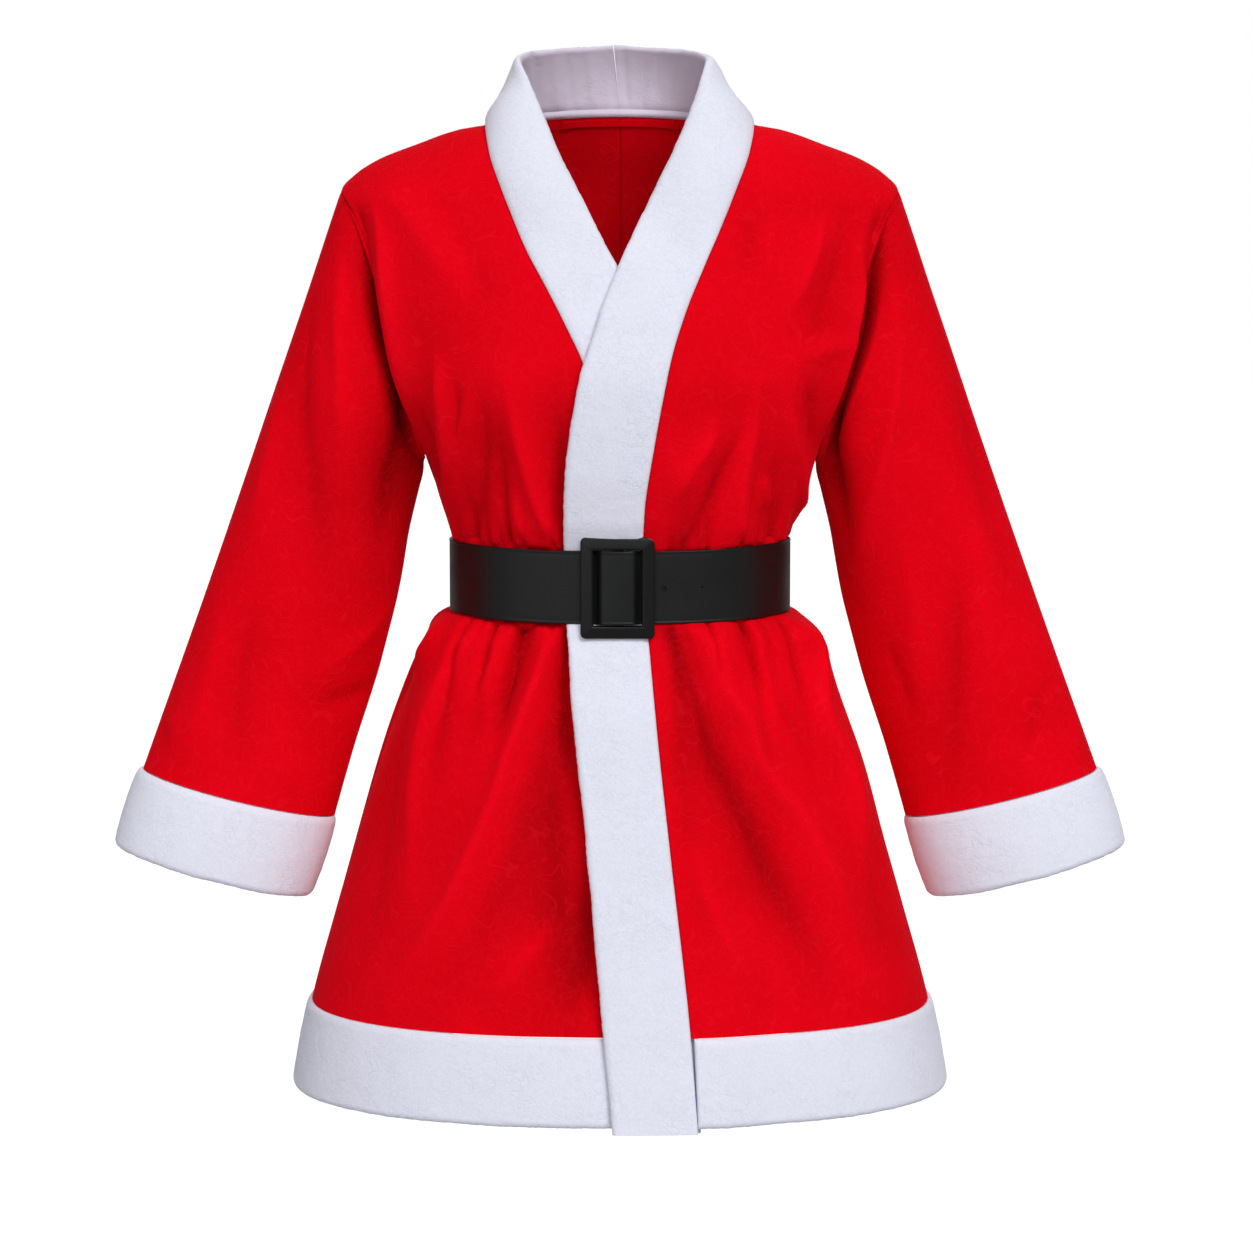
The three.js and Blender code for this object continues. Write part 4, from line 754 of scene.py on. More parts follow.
def sleeve_start(around, along_sleeve):
    z, behind, angle = armhole_place(around)
    edge = unit(armhole_point(around + 3) - armhole_point(around - 3))
    inside = plain_body(angle + np.where(behind, 2, -2), z) - plain_body(angle, z)
    c = np.cos(np.radians(around))[:, None]
    inside = np.where(c < -0.999, np.array([0, 0, -1.0]), inside)
    inside = np.where(c > 0.999, np.array([-1.0, 0, 0.1]), inside)
    body = unit(inside - edge * np.sum(inside * edge, axis=1, keepdims=True))
    sleeve = unit(along_sleeve - edge * np.sum(along_sleeve * edge, axis=1, keepdims=True))
    turned = 1 + np.sum(body * sleeve, axis=1, keepdims=True)
    normal = outward(angle, z)
    return normal * turned * (VELOUR + ARMHOLE_GAP) / 2 + sleeve * ARMHOLE_GAP * (1 - turned / 2)


around = 360 * np.arange(SLEEVE_COLUMNS) / SLEEVE_COLUMNS
first_oval = oval_point(SLEEVE_OUTER[0], SLEEVE_INNER[0], *SLEEVE[0, 2:], around)
to_armhole = armhole_point(around) - first_oval
sleeve_table = [curve_through(list(zip(SLEEVE[:, 0], SLEEVE[:, k]))) for k in (1, 2, 3, 4)]
second = SLEEVE[1]
second_ring = oval_point(on_line(SLEEVE_OUTER, second[0]), on_line(SLEEVE_INNER, second[1]),
                         *second[2:], around)
second_ring = second_ring + to_armhole * float(1 - smooth(0, ARMHOLE_FADE, second[0]))
start_offset = sleeve_start(around, second_ring - armhole_point(around))
armhole_out = outward(armhole_place(around)[2], armhole_place(around)[0])
sleeve_length = SLEEVE[-1, 0]
lengths = sleeve_length * np.linspace(0, 1, SLEEVE_ROWS) ** 1.12
rings, centres = [], []
for length in lengths:
    inner_length, front, back, shift = (float(curve(length)) for curve in sleeve_table)
    outer_end, inner_end = on_line(SLEEVE_OUTER, length), on_line(SLEEVE_INNER, inner_length)
    fade = float(1 - smooth(0, ARMHOLE_FADE, length))
    ring = oval_point(outer_end, inner_end, front, back, shift, around)
    ring = ring + (to_armhole + start_offset) * fade
    ring = ring - armhole_out * SEAM_DIP * math.exp(-((length / SEAM_DIP_WIDTH) ** 2))
    rings.append(ring)
    centres.append(((outer_end[0] + inner_end[0]) / 2, shift, (outer_end[1] + inner_end[1]) / 2))
rings = np.array(rings)
rings[-1] += np.array([-0.28, 0, 0.96]) * BAND_GAP
ray = unit(rings - np.array(centres)[:, None])
for name in ("sleeve_left", "sleeve_right"):
    ends = smooth(0, 2.2, lengths) * (1 - 0.7 * smooth(sleeve_length - 16, sleeve_length, lengths))
    away = folding(SLEEVE_FOLDS[name], around[None, :], lengths[:, None]) * ends[:, None]
    folded = rings + ray * away[..., None]
    sleeve_normals = grid_normals(folded, ray, loop=True)
    outer, inner = folded + sleeve_normals * VELOUR / 2, folded - sleeve_normals * VELOUR / 2
    if name.endswith("right"):
        outer, inner = mirrored(outer), mirrored(inner)
    wall_piece(name, outer, inner, away, loop=True)

# %% [markdown]
# ## The fleece bands
# Plush fleece is a deep soft pile on a knitted back. Sewn double, it makes a strip with a round free
# edge that swells up from its seam. Strands could be grown on it as hair, but at this distance the
# pile reads as soft clumps a few millimetres wide. So the strip is a thick rounded wall, and a noise
# field pushes its surface in and out by a few tenths of a millimetre.

# %% The section of a fleece strip and its pile
STRIP_EDGE = (0.0, 0.35, 0.9, 1.7, 2.8, 4.0, 5.2, 6.2, 7.0)  # places across, finer at both edges
STRIP_INSIDE, STRIP_STEP = 8.2, 2.6
SEAM_HALF = 1.0  # half the thickness at the seam
SEAM_ROUND = 6.5  # the strip swells up over this width from its seam
HEM_SEAM_ROUND = 1.8
CLUMPS = ((0.26, 0.8), (0.09, 0.6), (0.025, 1.4))  # clumps of 4, 11 and 40 mm, with their weights


def strip_places(width):
    count = max(int(round((width - 2 * STRIP_INSIDE) / STRIP_STEP)), 2)
    inner = np.linspace(STRIP_INSIDE, width - STRIP_INSIDE, count)
    return np.concatenate([STRIP_EDGE, inner, [width - e for e in reversed(STRIP_EDGE)]])


def strip_half(places, width, thickness, seam_round):
    half = thickness / 2
    from_seam = np.clip(places / seam_round, 0, 1)
    from_free = np.clip((width - places) / (half * 1.25), 0, 1)
    swell = SEAM_HALF + (half - SEAM_HALF) * np.sqrt(1 - (1 - from_seam) ** 2)
    return swell * np.sqrt(1 - (1 - from_free) ** 2)


def pile(points, amount=0.3):
    flat = points.reshape(-1, 3)
    total = np.zeros(len(flat))
    for scale, weight in CLUMPS:
        total += weight * np.array([noise.noise(Vector(p * scale)) for p in flat])
    return (amount * total).reshape(points.shape[:-1])


def fleece_rings(sewn, free, normals, thickness, lying=None, on_chest=None, bow=0.0, seam_round=SEAM_ROUND):
    width = float(np.median(np.linalg.norm(free - sewn, axis=1)))
    places = strip_places(width)
    share = places / width
    at = share[None, :, None]
    middle = sewn[:, None] * (1 - at) + free[:, None] * at
    middle = middle + normals[:, None] * (bow * 4 * at * (1 - at))
    if lying is not None:
        chest = on_chest[:, None, None]
        middle = middle * (1 - chest) + lying(share) * chest
    at_edge = np.exp(-(((width - places) / 2.4) ** 2))
    fray = pile(free * 1.3 + 70, 0.5)[:, None] * at_edge[None, :]
    middle = middle + unit(free - sewn)[:, None] * fray[..., None]
    half = strip_half(places[None, :], width, np.asarray(thickness)[:, None], seam_round)
    outer = middle + normals[:, None] * half[..., None]
    inner = middle - normals[:, None] * half[..., None]
    ring = np.concatenate([outer, inner[:, -2:0:-1]], axis=1)
    sides = np.concatenate([np.ones(outer.shape[1]), -np.ones(outer.shape[1] - 2)])
    return ring, sides, places, width


# %% [markdown]
# ## The front bands and the collar
# One strip runs up each front edge, turns outwards as a lapel and goes on round the neck as a standing
# collar to the centre back. On the chest it follows the body under it; above the collar bones it
# stands on its own, straight between its two edges with a slight bow.

# %% Build the front bands
BAND_RISE = curve_through([
    (-772, 0), (-285, 0), (-230, 8), (-190, 14), (-112, 18), (-52, 18), (-27, 17.5), (-10, 21), (0, 36),
])
COLLAR_TOP = curve_through([
    (0, 36), (0.1, 45), (0.2, 50.5), (0.3, 53.5), (0.5, 58.5), (0.75, 63.5), (1, 66),
])
COLLAR_BOW = 6.5
COLLAR_SHIFT = -5
COLLAR_CREASES = {  # x at the seam, lean to the top, half width, depth
    "band_left": [(6, -4, 2.6, 1.5), (22, 5, 4, -1.0), (40, 9, 4, 1.2), (58, 8, 5, -1.2), (74, 6, 5, 1.2)],
    "band_right": [
        (7, -6, 3, 1.5), (20, 6, 4, -1.1), (38, 6, 3.4, 1.3), (50, 4, 4, -1.2), (64, 3, 3.4, 1.8),
    ],
}
BAND_HEIGHTS = np.concatenate([
    np.linspace(BAND_END_Z, -60, 400, endpoint=False), np.linspace(-60, -1.2, 40),
])
COLLAR_STEPS = 72


def softened(values, reach):
    kernel = np.exp(-((np.arange(-3 * reach, 3 * reach + 1) / reach) ** 2) / 2)
    kernel /= kernel.sum()
    padded = np.pad(values, ((3 * reach, 3 * reach), (0, 0)), mode="edge")
    return np.stack([np.convolve(column, kernel, mode="valid") for column in padded.T], axis=1)


def collar_creases(name, points, share):
    total = np.zeros(points.shape[:2])
    for x, lean, width, depth in COLLAR_CREASES[name]:
        total = total + depth * np.exp(-(((points[..., 0] - x - lean * share) / width) ** 2))
    return total * smooth(0.05, 0.3, share)


def front_band(name, seam, edge, over):
    z = BAND_HEIGHTS
    edge_z = z + BAND_RISE(z)
    from_x, to_x = seam(z) - BAND_GAP, edge(edge_z)
    sewn, free = on_body(from_x, z, over), on_body(to_x, edge_z, over)
    turn = np.linspace(0, 1, COLLAR_STEPS + 1)
    lapel_angle = float(angle_at_x(edge(36.0), 36.0))
    low = 90 + 90 * turn
    high = lapel_angle + (180 - lapel_angle) * turn
    sewn = np.concatenate([sewn, plain_body(low, neck_seam_z(low) + 0.06)])
    free = np.concatenate([free, plain_body(high, COLLAR_TOP(turn))])
    sewn[-1, 0] = free[-1, 0] = 0.004
    shift = COLLAR_SHIFT if over else -COLLAR_SHIFT
    free[:, 0] += shift * smooth(0, 45, free[:, 2])
    turned_over = smooth(-60, -20, free[:, 2])[:, None] * smooth(0, 20, free[:, 0])[:, None]
    free = free + (softened(free, 6) - free) * turned_over
    along = np.gradient(sewn + free, axis=0)
    along[-1] = (-1, 0, 0)
    normals = -unit(np.cross(free - sewn, along))
    normals = unit(softened(normals, 5))
    normals[-1, 0] = 0
    thickness = np.concatenate([band_thickness(z), np.full(len(turn), FLEECE)])
    on_chest = np.concatenate([1 - smooth(-110, -60, z), np.zeros(len(turn))])

    def lying(share):
        xs = from_x[:, None] + (to_x - from_x)[:, None] * share[None, :]
        zs = z[:, None] + (edge_z - z)[:, None] * share[None, :]
        body = on_body(xs, zs, over)
        return np.concatenate([body, np.zeros((len(turn), len(share), 3))])

    under_hem = 1 - smooth(HEM_SEAM_Z - 3, HEM_SEAM_Z + 5, z)
    seam_round = SEAM_ROUND - (SEAM_ROUND - HEM_SEAM_ROUND) * under_hem
    seam_round = np.append(seam_round, np.full(len(turn), SEAM_ROUND))[:, None]
    rings, sides, places, width = fleece_rings(
        sewn, free, normals, thickness, lying, on_chest, COLLAR_BOW, seam_round)
    belted = 1 - smooth(0, 14, np.maximum(rings[..., 2] - BELT_TOP_Z, BELT_BOTTOM_Z - rings[..., 2]))
    push = sides[None, :] * pile(rings) * (1 - 0.8 * belted)
    in_neck = np.concatenate([np.zeros(len(z)), smooth(0, 0.2, turn)])[:, None]
    across = np.concatenate([places, places[-2:0:-1]])[None, :]
    turned_in = 1.7 * np.exp(-(((across - 7.2) / 1.3) ** 2))
    turned_in = turned_in - 0.9 * np.exp(-(((across - 3.6) / 2.2) ** 2))
    creases = collar_creases(name, rings, across / width)
    push = push + in_neck * (turned_in * (sides[None, :] < 0) + creases)
    rings = rings + normals[:, None] * push[..., None]
    if name.endswith("right"):
        rings = mirrored(rings)
    piece = ring_piece(name, rings)
    # The collar's inner side is marked by the in_neck attribute, which the fleece turns into painted shade
    # with a painted pink bounce from the red.
    say(piece, "in_neck", in_neck * (sides[None, :] < 0))


front_band("band_left", OVER_SEAM, OVER_EDGE, True)
front_band("band_right", UNDER_SEAM, UNDER_EDGE, False)

# %% [markdown]
# ## The hem and the cuffs
# The hem is three strips that meet at the side seams, and each cuff is a strip sewn into a tube. They
# are the same fleece strip as the front band, bent round.

# %% Build the hem
HEM_END_GAP = 0.06
HEM_QUARTER = 350.0  # mm round a quarter of the hem
END_SWELL = 1.8  # a strip's end swells up over this width
END_STEPS = np.array([0.06, 0.16, 0.3])  # degrees, the finer columns there


def hem_strip(name, start, end, over):
    steps = int(round(abs(end - start) / 0.5))
    angle = np.linspace(start, end, steps + 1)
    angle = np.sort(np.concatenate([angle, start + END_STEPS, end - END_STEPS]))

    def at(z):
        plain = plain_body(angle, np.full_like(angle, z))
        lift = over_lift(plain[:, 0], np.full_like(angle, z)) if over else 0 * angle
        return plain + outward(angle, np.full_like(angle, z)) * lift[:, None]

    sewn, free = at(HEM_SEAM_Z - SEAM_GAP), at(HEM_Z)
    normals = outward(angle, np.full_like(angle, (HEM_SEAM_Z + HEM_Z) / 2))
    from_end = np.minimum(np.abs(angle - start), np.abs(end - angle)) / 90 * HEM_QUARTER
    swell = np.sqrt(1 - (1 - np.clip(from_end / END_SWELL, 0, 1)) ** 2)
    thickness = HEM_FLEECE * (0.3 + 0.7 * swell)
    rings, sides = fleece_rings(sewn, free, normals, thickness, bow=1.0)[:2]
    rings = rings + normals[:, None] * (sides[None, :] * pile(rings))[..., None]
    if name.endswith("right"):
        rings = mirrored(rings)
    return ring_piece(name, rings)


side_gap = math.degrees(SEAM_GAP / 2 / float(half_at(HEM_Z)))
for name, seam, over in (("hem_front_left", OVER_SEAM, True), ("hem_front_right", UNDER_SEAM, False)):
    start = float(angle_at_x(seam(HEM_Z) + HEM_END_GAP, HEM_Z))
    hem_strip(name, start, 90 - side_gap, over)
hem_strip("hem_back", 90 + side_gap, 270 - side_gap, False)

# %% Build the cuffs
CUFF_COLUMNS = 180
CUFF_OUTER, CUFF_INNER = (399.5, -568.0), (250.5, -608.5)
around = 360 * np.arange(CUFF_COLUMNS) / CUFF_COLUMNS
last = SLEEVE[-1]
outer_end, inner_end = on_line(SLEEVE_OUTER, last[0]), on_line(SLEEVE_INNER, last[1])
cuff_sewn = oval_point((outer_end[0] + 1, outer_end[1] - SEAM_GAP),
                       (inner_end[0] + 1, inner_end[1] - SEAM_GAP), *last[2:], around)
cuff_free = oval_point(CUFF_OUTER, CUFF_INNER, 52, 50, -26, around)
along = np.roll(cuff_sewn, -1, axis=0) - np.roll(cuff_sewn, 1, axis=0)
cuff_normals = unit(np.cross(cuff_free - cuff_sewn, along))
facing = np.sum(cuff_normals * (cuff_sewn - cuff_sewn.mean(axis=0)), axis=1, keepdims=True)
cuff_normals = np.where(facing < 0, -cuff_normals, cuff_normals)
thickness = np.full(CUFF_COLUMNS, HEM_FLEECE)
rings, sides = fleece_rings(cuff_sewn, cuff_free, cuff_normals, thickness, bow=1.5)[:2]
for name, sign in (("cuff_left", 1), ("cuff_right", -1)):
    shaped = rings + cuff_normals[:, None] * (sides[None, :] * pile(rings * sign + 300))[..., None]
    ring_piece(name, shaped if sign > 0 else mirrored(shaped), loop=True)

# %% [markdown]
# ## The tape at the back of the neck
# Inside, a narrow strip of the red velour covers the seam that joins the collar to the back.

# %% Build the neck tape
TAPE_HEIGHT, TAPE_THICK, TAPE_FROM, TAPE_BELOW = 5.0, 1.2, 138, 1.6
angle = np.linspace(TAPE_FROM, 180, 60)
tape_top = neck_seam_z(angle) - TAPE_BELOW
near = VELOUR / 2 + 2 * SEAM_GAP


def tape_corner(z, depth):
    return plain_body(angle, z) - outward(angle, z) * depth


half_rings = np.stack([
    tape_corner(tape_top - TAPE_HEIGHT, near), tape_corner(tape_top, near),
    tape_corner(tape_top, near + TAPE_THICK), tape_corner(tape_top - TAPE_HEIGHT, near + TAPE_THICK),
], axis=1)
ring_piece("neck_tape", np.concatenate([half_rings, mirrored(half_rings)[-2::-1]]))

# %% [markdown]
# ## The belt
# The strap is leatherette: a knitted cloth coated with soft black vinyl. It is stiff enough to stay
# flat, so it is a clean band round the waist, pressed against the layers under it, and it arches over
# the buckle's middle bar. A thin raised bead runs along each edge, where the coating is rolled.

# %% Build the strap
BUCKLE_X, BUCKLE_Z = -1.6, -355.3
ARCH_HALF, ARCH_HEIGHT, ARCH_FOOT = 14.6, 6.4, 3.2


def belt_offset(angle):
    wrapped = np.where(angle > 180, angle - 360, angle)
    on_front = 1 - smooth(34, 62, np.abs(wrapped + 1))
    layers = float(band_thickness(BUCKLE_Z)) * 1.5 + LIE_GAP
    return VELOUR / 2 + 0.5 + BELT_THICK / 2 + (layers - VELOUR / 2) * on_front


def arch(x):
    away = np.abs(x - BUCKLE_X)
    edge = 1 - smooth(ARCH_HALF - 4, ARCH_HALF + ARCH_FOOT, away)
    crown = 0.5 + 0.5 * np.sqrt(np.clip(1 - (away / ARCH_HALF) ** 2, 0, 1))
    return ARCH_HEIGHT * edge * crown


def belt_line(angle, away=0.0):
    base = plain_body(angle, np.full_like(angle, BELT_MIDDLE))
    normal = outward(angle, np.full_like(angle, BELT_MIDDLE))
    point = base + normal * (belt_offset(angle) + away)[:, None]
    point[:, 1] -= np.where(np.cos(np.radians(angle)) > 0, arch(base[:, 0]), 0)
    return point


near_x = np.linspace(-22, 22, 89) + BUCKLE_X
near_angles = angle_at_x(near_x, np.full_like(near_x, BUCKLE_Z))
far_angles = np.linspace(near_angles[-1], near_angles[0] + 360, 420)[1:-1]
belt_angles = np.concatenate([near_angles, far_angles])
middles = belt_line(belt_angles)
along = unit(np.roll(middles, -1, axis=0) - np.roll(middles, 1, axis=0))
belt_normals = unit(np.cross(along, np.array([0, 0, 1.0])))
half = BELT_THICK / 2
EDGE_SECTION = [  # distance from the edge, share of the half thickness: the raised bead
    (0.0, 0.35), (0.25, 0.8), (0.7, 1.05), (1.3, 1.08), (1.8, 0.95), (2.3, 0.8), (3.0, 0.84), (4.2, 0.9),
]
section = [(BELT_TOP_Z - d, s * half) for d, s in EDGE_SECTION]
section += [(z, 0.9 * half) for z in np.linspace(BELT_TOP_Z - 7, BELT_BOTTOM_Z + 7, 12)]
section += [(BELT_BOTTOM_Z + d, s * half) for d, s in reversed(EDGE_SECTION)]
section += [(BELT_BOTTOM_Z, -half), (BELT_TOP_Z, -half)]
rings = np.stack([middles + belt_normals * s for z, s in section], axis=1)
for k, (z, s) in enumerate(section):
    rings[:, k, 2] = z
strap = ring_piece("belt_strap", rings, loop=True, sharp=35)

# %% [markdown]
# Holes could be drawn as dark dots. They are punched here, as with a real punch: a short cylinder is
# taken away from the strap. The first one is clear, the second and the third are almost closed.

# %% Punch the holes
HOLES = [(32.6, -356.0, 2.3), (60.5, -355.6, 0.8), (-1.0, -357.6, 0.4)]  # x, z, radius
HOLE_FLOOR = 1.1  # under the middle of the strap, because its other end lies behind


def punch(piece, x, z, radius, sides=24):
    angle = np.ravel(angle_at_x(x, BELT_MIDDLE))
    place, normal = belt_line(angle)[0], outward(angle, np.array([BELT_MIDDLE]))[0]
    turn = 2 * math.pi * np.arange(sides) / sides
    across = unit(np.cross(normal, np.array([0, 0, 1.0])))
    up = np.cross(across, normal)
    rim = radius * (np.cos(turn)[:, None] * across + np.sin(turn)[:, None] * up)
    middle = with_belt_rise(np.array([[place[0], place[1], z]]))[0]
    points = np.concatenate([middle + rim + normal * 6, middle + rim - normal * HOLE_FLOOR]) * MM
    mesh = bpy.data.meshes.new("punch")
    faces = [tuple(reversed(range(sides))), tuple(range(sides, 2 * sides))]
    faces += [(k, (k + 1) % sides, (k + 1) % sides + sides, k + sides) for k in range(sides)]
    mesh.from_pydata(points.tolist(), [], faces)
    mesh.validate()
    tool = bpy.data.objects.new("punch", mesh)
    bpy.context.scene.collection.objects.link(tool)
    cutter = piece.modifiers.new("punch", "BOOLEAN")
    cutter.operation = "DIFFERENCE"
    cutter.object = tool
    bpy.context.view_layer.update()
    whole = piece.evaluated_get(bpy.context.evaluated_depsgraph_get())
    punched = bpy.data.meshes.new_from_object(whole)
    piece.modifiers.clear()
    piece.data = punched
    bpy.data.objects.remove(tool)
    bpy.data.meshes.remove(mesh)


for hole in HOLES:
    punch(strap, *hole)
print("strap faces after punching:", len(strap.data.polygons))

# %% [markdown]
# ## The buckle
# A slide buckle is moulded in one piece: a frame with sloping faces that meet in mitred corners, and a
# bar down its middle that the strap passes over. It is a ring of sections, like a picture frame.

# %% Build the buckle
WIDTH, HEIGHT, BORDER, CORNER_CUT = 57.0, 78.0, 10.0, 4.0
BAR_WIDTH, BAR_THICK, BAR_IN, BAR_SIDES = 9.0, 2.4, 2.0, 16


def frame_outline(width, height, corner, steps=5):
    w, h = width / 2, height / 2
    points = []
    for cx, cz, start in ((w - corner, -h + corner, -90), (w - corner, h - corner, 0),
                          (-w + corner, h - corner, 90), (-w + corner, -h + corner, 180)):
        for k in range(steps + 1):
            a = math.radians(start + 90 * k / steps)
            points.append((cx + corner * math.cos(a), cz + corner * math.sin(a)))
    return np.array(points)


FRAME_SECTION = [  # inset from the outer edge, depth towards the front
    (0.0, 0.0), (0.0, 2.9), (0.2, 3.5), (0.7, 3.95), (1.3, 4.15), (3.0, 4.55), (6.0, 5.15), (8.0, 5.5),
    (8.5, 5.5), (9.1, 5.25), (9.6, 4.7), (9.85, 4.0), (10.0, 3.0), (10.0, 0.0),
]
under_frame = angle_at_x(np.array([-28, -20, 20, 26]) + BUCKLE_X, BELT_MIDDLE)
buckle_back = float(np.min(belt_line(np.ravel(under_frame), half)[:, 1])) - 0.5
levels = []
for inset, depth in FRAME_SECTION:
    corner = max(CORNER_CUT - 0.42 * inset, 0.5)
    outline = frame_outline(WIDTH - 2 * inset, HEIGHT - 2 * inset, corner)
    levels.append(np.stack([outline[:, 0] + BUCKLE_X, np.full(len(outline), buckle_back - depth),
                            outline[:, 1] + BUCKLE_Z], axis=1))
bar_turn = 2 * math.pi * np.arange(BAR_SIDES) / BAR_SIDES
bar_aside, bar_ahead = (np.sign(f(bar_turn)) * np.abs(f(bar_turn)) ** 0.5 for f in (np.cos, np.sin))
bar_x = BUCKLE_X + bar_aside * BAR_WIDTH / 2
bar_y = buckle_back - (1 + bar_ahead) * BAR_THICK / 2
bar_end = HEIGHT / 2 - BORDER + BAR_IN
bar = [np.stack([bar_x, bar_y, np.full(BAR_SIDES, BUCKLE_Z + end)], axis=1) for end in (-bar_end, bar_end)]
frame_points = np.array(levels).reshape(-1, 3)
frame_faces = grid_faces(len(levels), len(levels[0]), True, True)
caps = np.array([[j, j + 1, BAR_SIDES - 2 - j, BAR_SIDES - 1 - j] for j in range(BAR_SIDES // 2 - 1)])
bar_faces = np.concatenate([grid_faces(2, BAR_SIDES, False, True), caps[:, ::-1], caps + BAR_SIDES])
make_piece("buckle", np.concatenate([frame_points, *bar]),
           np.concatenate([frame_faces, bar_faces + len(frame_points)]), 40)

# %% [markdown]
# ## Colours and nodes
# Colours are written as they would be read off a screen. Blender works with linear light, so one
# function turns them. Another adds a shader node with its settings and links in one line. The patterns
# are placed by the object's own coordinates in metres, so a pattern's scale says how many of its
# features lie in a metre: 100 is one every 10 mm.

# %% Helpers for materials
def colour(hex_code):
    values = [int(hex_code[i:i + 2], 16) / 255 for i in (1, 3, 5)]
    return (*[v / 12.92 if v <= 0.04045 else ((v + 0.055) / 1.055) ** 2.4 for v in values], 1.0)


def node(tree, kind, inputs=None, **settings):
    made = tree.nodes.new(kind)
    for key, value in settings.items():
        setattr(made, key, value)
    for key, value in (inputs or {}).items():
        if isinstance(value, bpy.types.NodeSocket):
            tree.links.new(value, made.inputs[key])
        else:
            made.inputs[key].default_value = value
    return made


def new_material(name):
    material = bpy.data.materials.new(name)
    material.use_nodes = True
    tree = material.node_tree
    tree.nodes.clear()
    shader = tree.nodes.new("ShaderNodeBsdfPrincipled")
    output = tree.nodes.new("ShaderNodeOutputMaterial")
    tree.links.new(shader.outputs[0], output.inputs[0])
    place = tree.nodes.new("ShaderNodeTexCoord").outputs["Object"]
    return material, tree, shader, place


# %% [markdown]
# ## Velour
# Velour is a knitted cloth with a short cut pile. Its strands stand up, so it glows at grazing angles,
# which is what the sheen of the shader is for, and it has no shine head on. Each point of the cloth
# carries the height of its fold, and the colour follows it as painted light: a painted shade deepens
# the red in a trough and along a seam, and a painted highlight lightens it on a crest. Where the pile
# has been pressed it leaves faint fine lines: level lines of a noise in some patches, bent borders of
# cells in others. Its tufts, 0.3 mm apart, are too fine to show, so the nap is drawn as coarse as 1.4 mm.

# %% Velour material
NET_CELLS, NET_BENDS = 105, 85  # 9.5 mm and 12 mm
LINES = 42  # 24 mm
PATCHES, TONES = 17, 11  # 59 mm and 91 mm
NAP = 700  # 1.4 mm


def thin_lines(tree, place, scale, shift, width, levels=1.0):
    moved = node(tree, "ShaderNodeMapping", {"Vector": place, "Location": (shift, shift * 0.7, -shift)})
    field = node(tree, "ShaderNodeTexNoise", {"Vector": moved.outputs[0], "Scale": scale, "Detail": 1.0,
                                              "Roughness": 0.5, "Distortion": 0.7})
    level = node(tree, "ShaderNodeMath", {0: field.outputs[0], 1: levels}, operation="MULTIPLY")
    within = node(tree, "ShaderNodeMath", {0: level.outputs[0]}, operation="FRACT")
    from_level = node(tree, "ShaderNodeMath", {0: within.outputs[0], 1: 0.5}, operation="SUBTRACT")
    away = node(tree, "ShaderNodeMath", {0: from_level.outputs[0]}, operation="ABSOLUTE")
    line = node(tree, "ShaderNodeMapRange", {0: away.outputs[0], 1: 0.0, 2: width, 3: 1.0, 4: 0.0})
    return line.outputs[0]


velour, tree, shader, place = new_material("polyester_velour")
bend = node(tree, "ShaderNodeTexNoise", {"Vector": place, "Scale": NET_BENDS, "Detail": 2.0})
bent = node(tree, "ShaderNodeVectorMath", {0: bend.outputs[1], 1: (0.016, 0.016, 0.016), 2: place},
            operation="MULTIPLY_ADD")
cells = node(tree, "ShaderNodeTexVoronoi", {"Vector": bent.outputs[0], "Scale": NET_CELLS},
             feature="DISTANCE_TO_EDGE")
borders = node(tree, "ShaderNodeMapRange", {0: cells.outputs[0], 1: 0.0, 2: 0.09, 3: 1.0, 4: 0.0})
patches = node(tree, "ShaderNodeTexNoise", {"Vector": place, "Scale": PATCHES, "Detail": 2.0})
here = node(tree, "ShaderNodeMapRange", {0: patches.outputs[0], 1: 0.36, 2: 0.6, 3: 0.4, 4: 1.0})
elsewhere = node(tree, "ShaderNodeMapRange", {0: patches.outputs[0], 1: 0.42, 2: 0.62, 3: 1.0, 4: 0.25})
net = node(tree, "ShaderNodeMath", {0: borders.outputs[0], 1: here.outputs[0]}, operation="MULTIPLY")
thinned = node(tree, "ShaderNodeMath", {0: net.outputs[0], 1: 0.6}, operation="MULTIPLY")
waves = node(tree, "ShaderNodeMath", {0: thin_lines(tree, place, LINES, 2.6, 0.11, 7.0),
                                      1: elsewhere.outputs[0]}, operation="MULTIPLY")
marks = node(tree, "ShaderNodeMath", {0: waves.outputs[0], 1: thinned.outputs[0]}, operation="MAXIMUM")
broad = node(tree, "ShaderNodeTexNoise", {"Vector": place, "Scale": TONES, "Detail": 3.0})
tone = node(tree, "ShaderNodeMapRange", {0: broad.outputs[0], 1: 0.32, 2: 0.68, 3: 0.0, 4: 1.0})
red = node(tree, "ShaderNodeMix", {0: tone.outputs[0], 6: colour("#DC0010"), 7: colour("#E80015")},
           data_type="RGBA")
# Painted shade and painted highlight: the fold's height from the pile attribute darkens or lightens the red.
fold_shade = node(tree, "ShaderNodeAttribute", attribute_name="pile")
for low, high, at_low, at_high, shade in (  # painted shade in troughs, deeper painted shade in the deepest troughs, a painted highlight on crests
    (-1.0, 0.05, 0.85, 0.0, "#A80008"), (-2.6, -0.9, 0.8, 0.0, "#640003"), (0.1, 1.0, 0.0, 0.5, "#F6041C"),
):
    share = node(tree, "ShaderNodeMapRange", {0: fold_shade.outputs["Fac"], 1: low, 2: high, 3: at_low, 4: at_high})
    red = node(tree, "ShaderNodeMix", {0: share.outputs[0], 6: red.outputs[2], 7: colour(shade)},
               data_type="RGBA")
share = node(tree, "ShaderNodeMath", {0: marks.outputs[0], 1: 0.2}, operation="MULTIPLY")
red = node(tree, "ShaderNodeMix", {0: share.outputs[0], 6: red.outputs[2], 7: colour("#FF1C34")},
           data_type="RGBA")
nap = node(tree, "ShaderNodeTexNoise", {"Vector": place, "Scale": NAP, "Detail": 2.0})
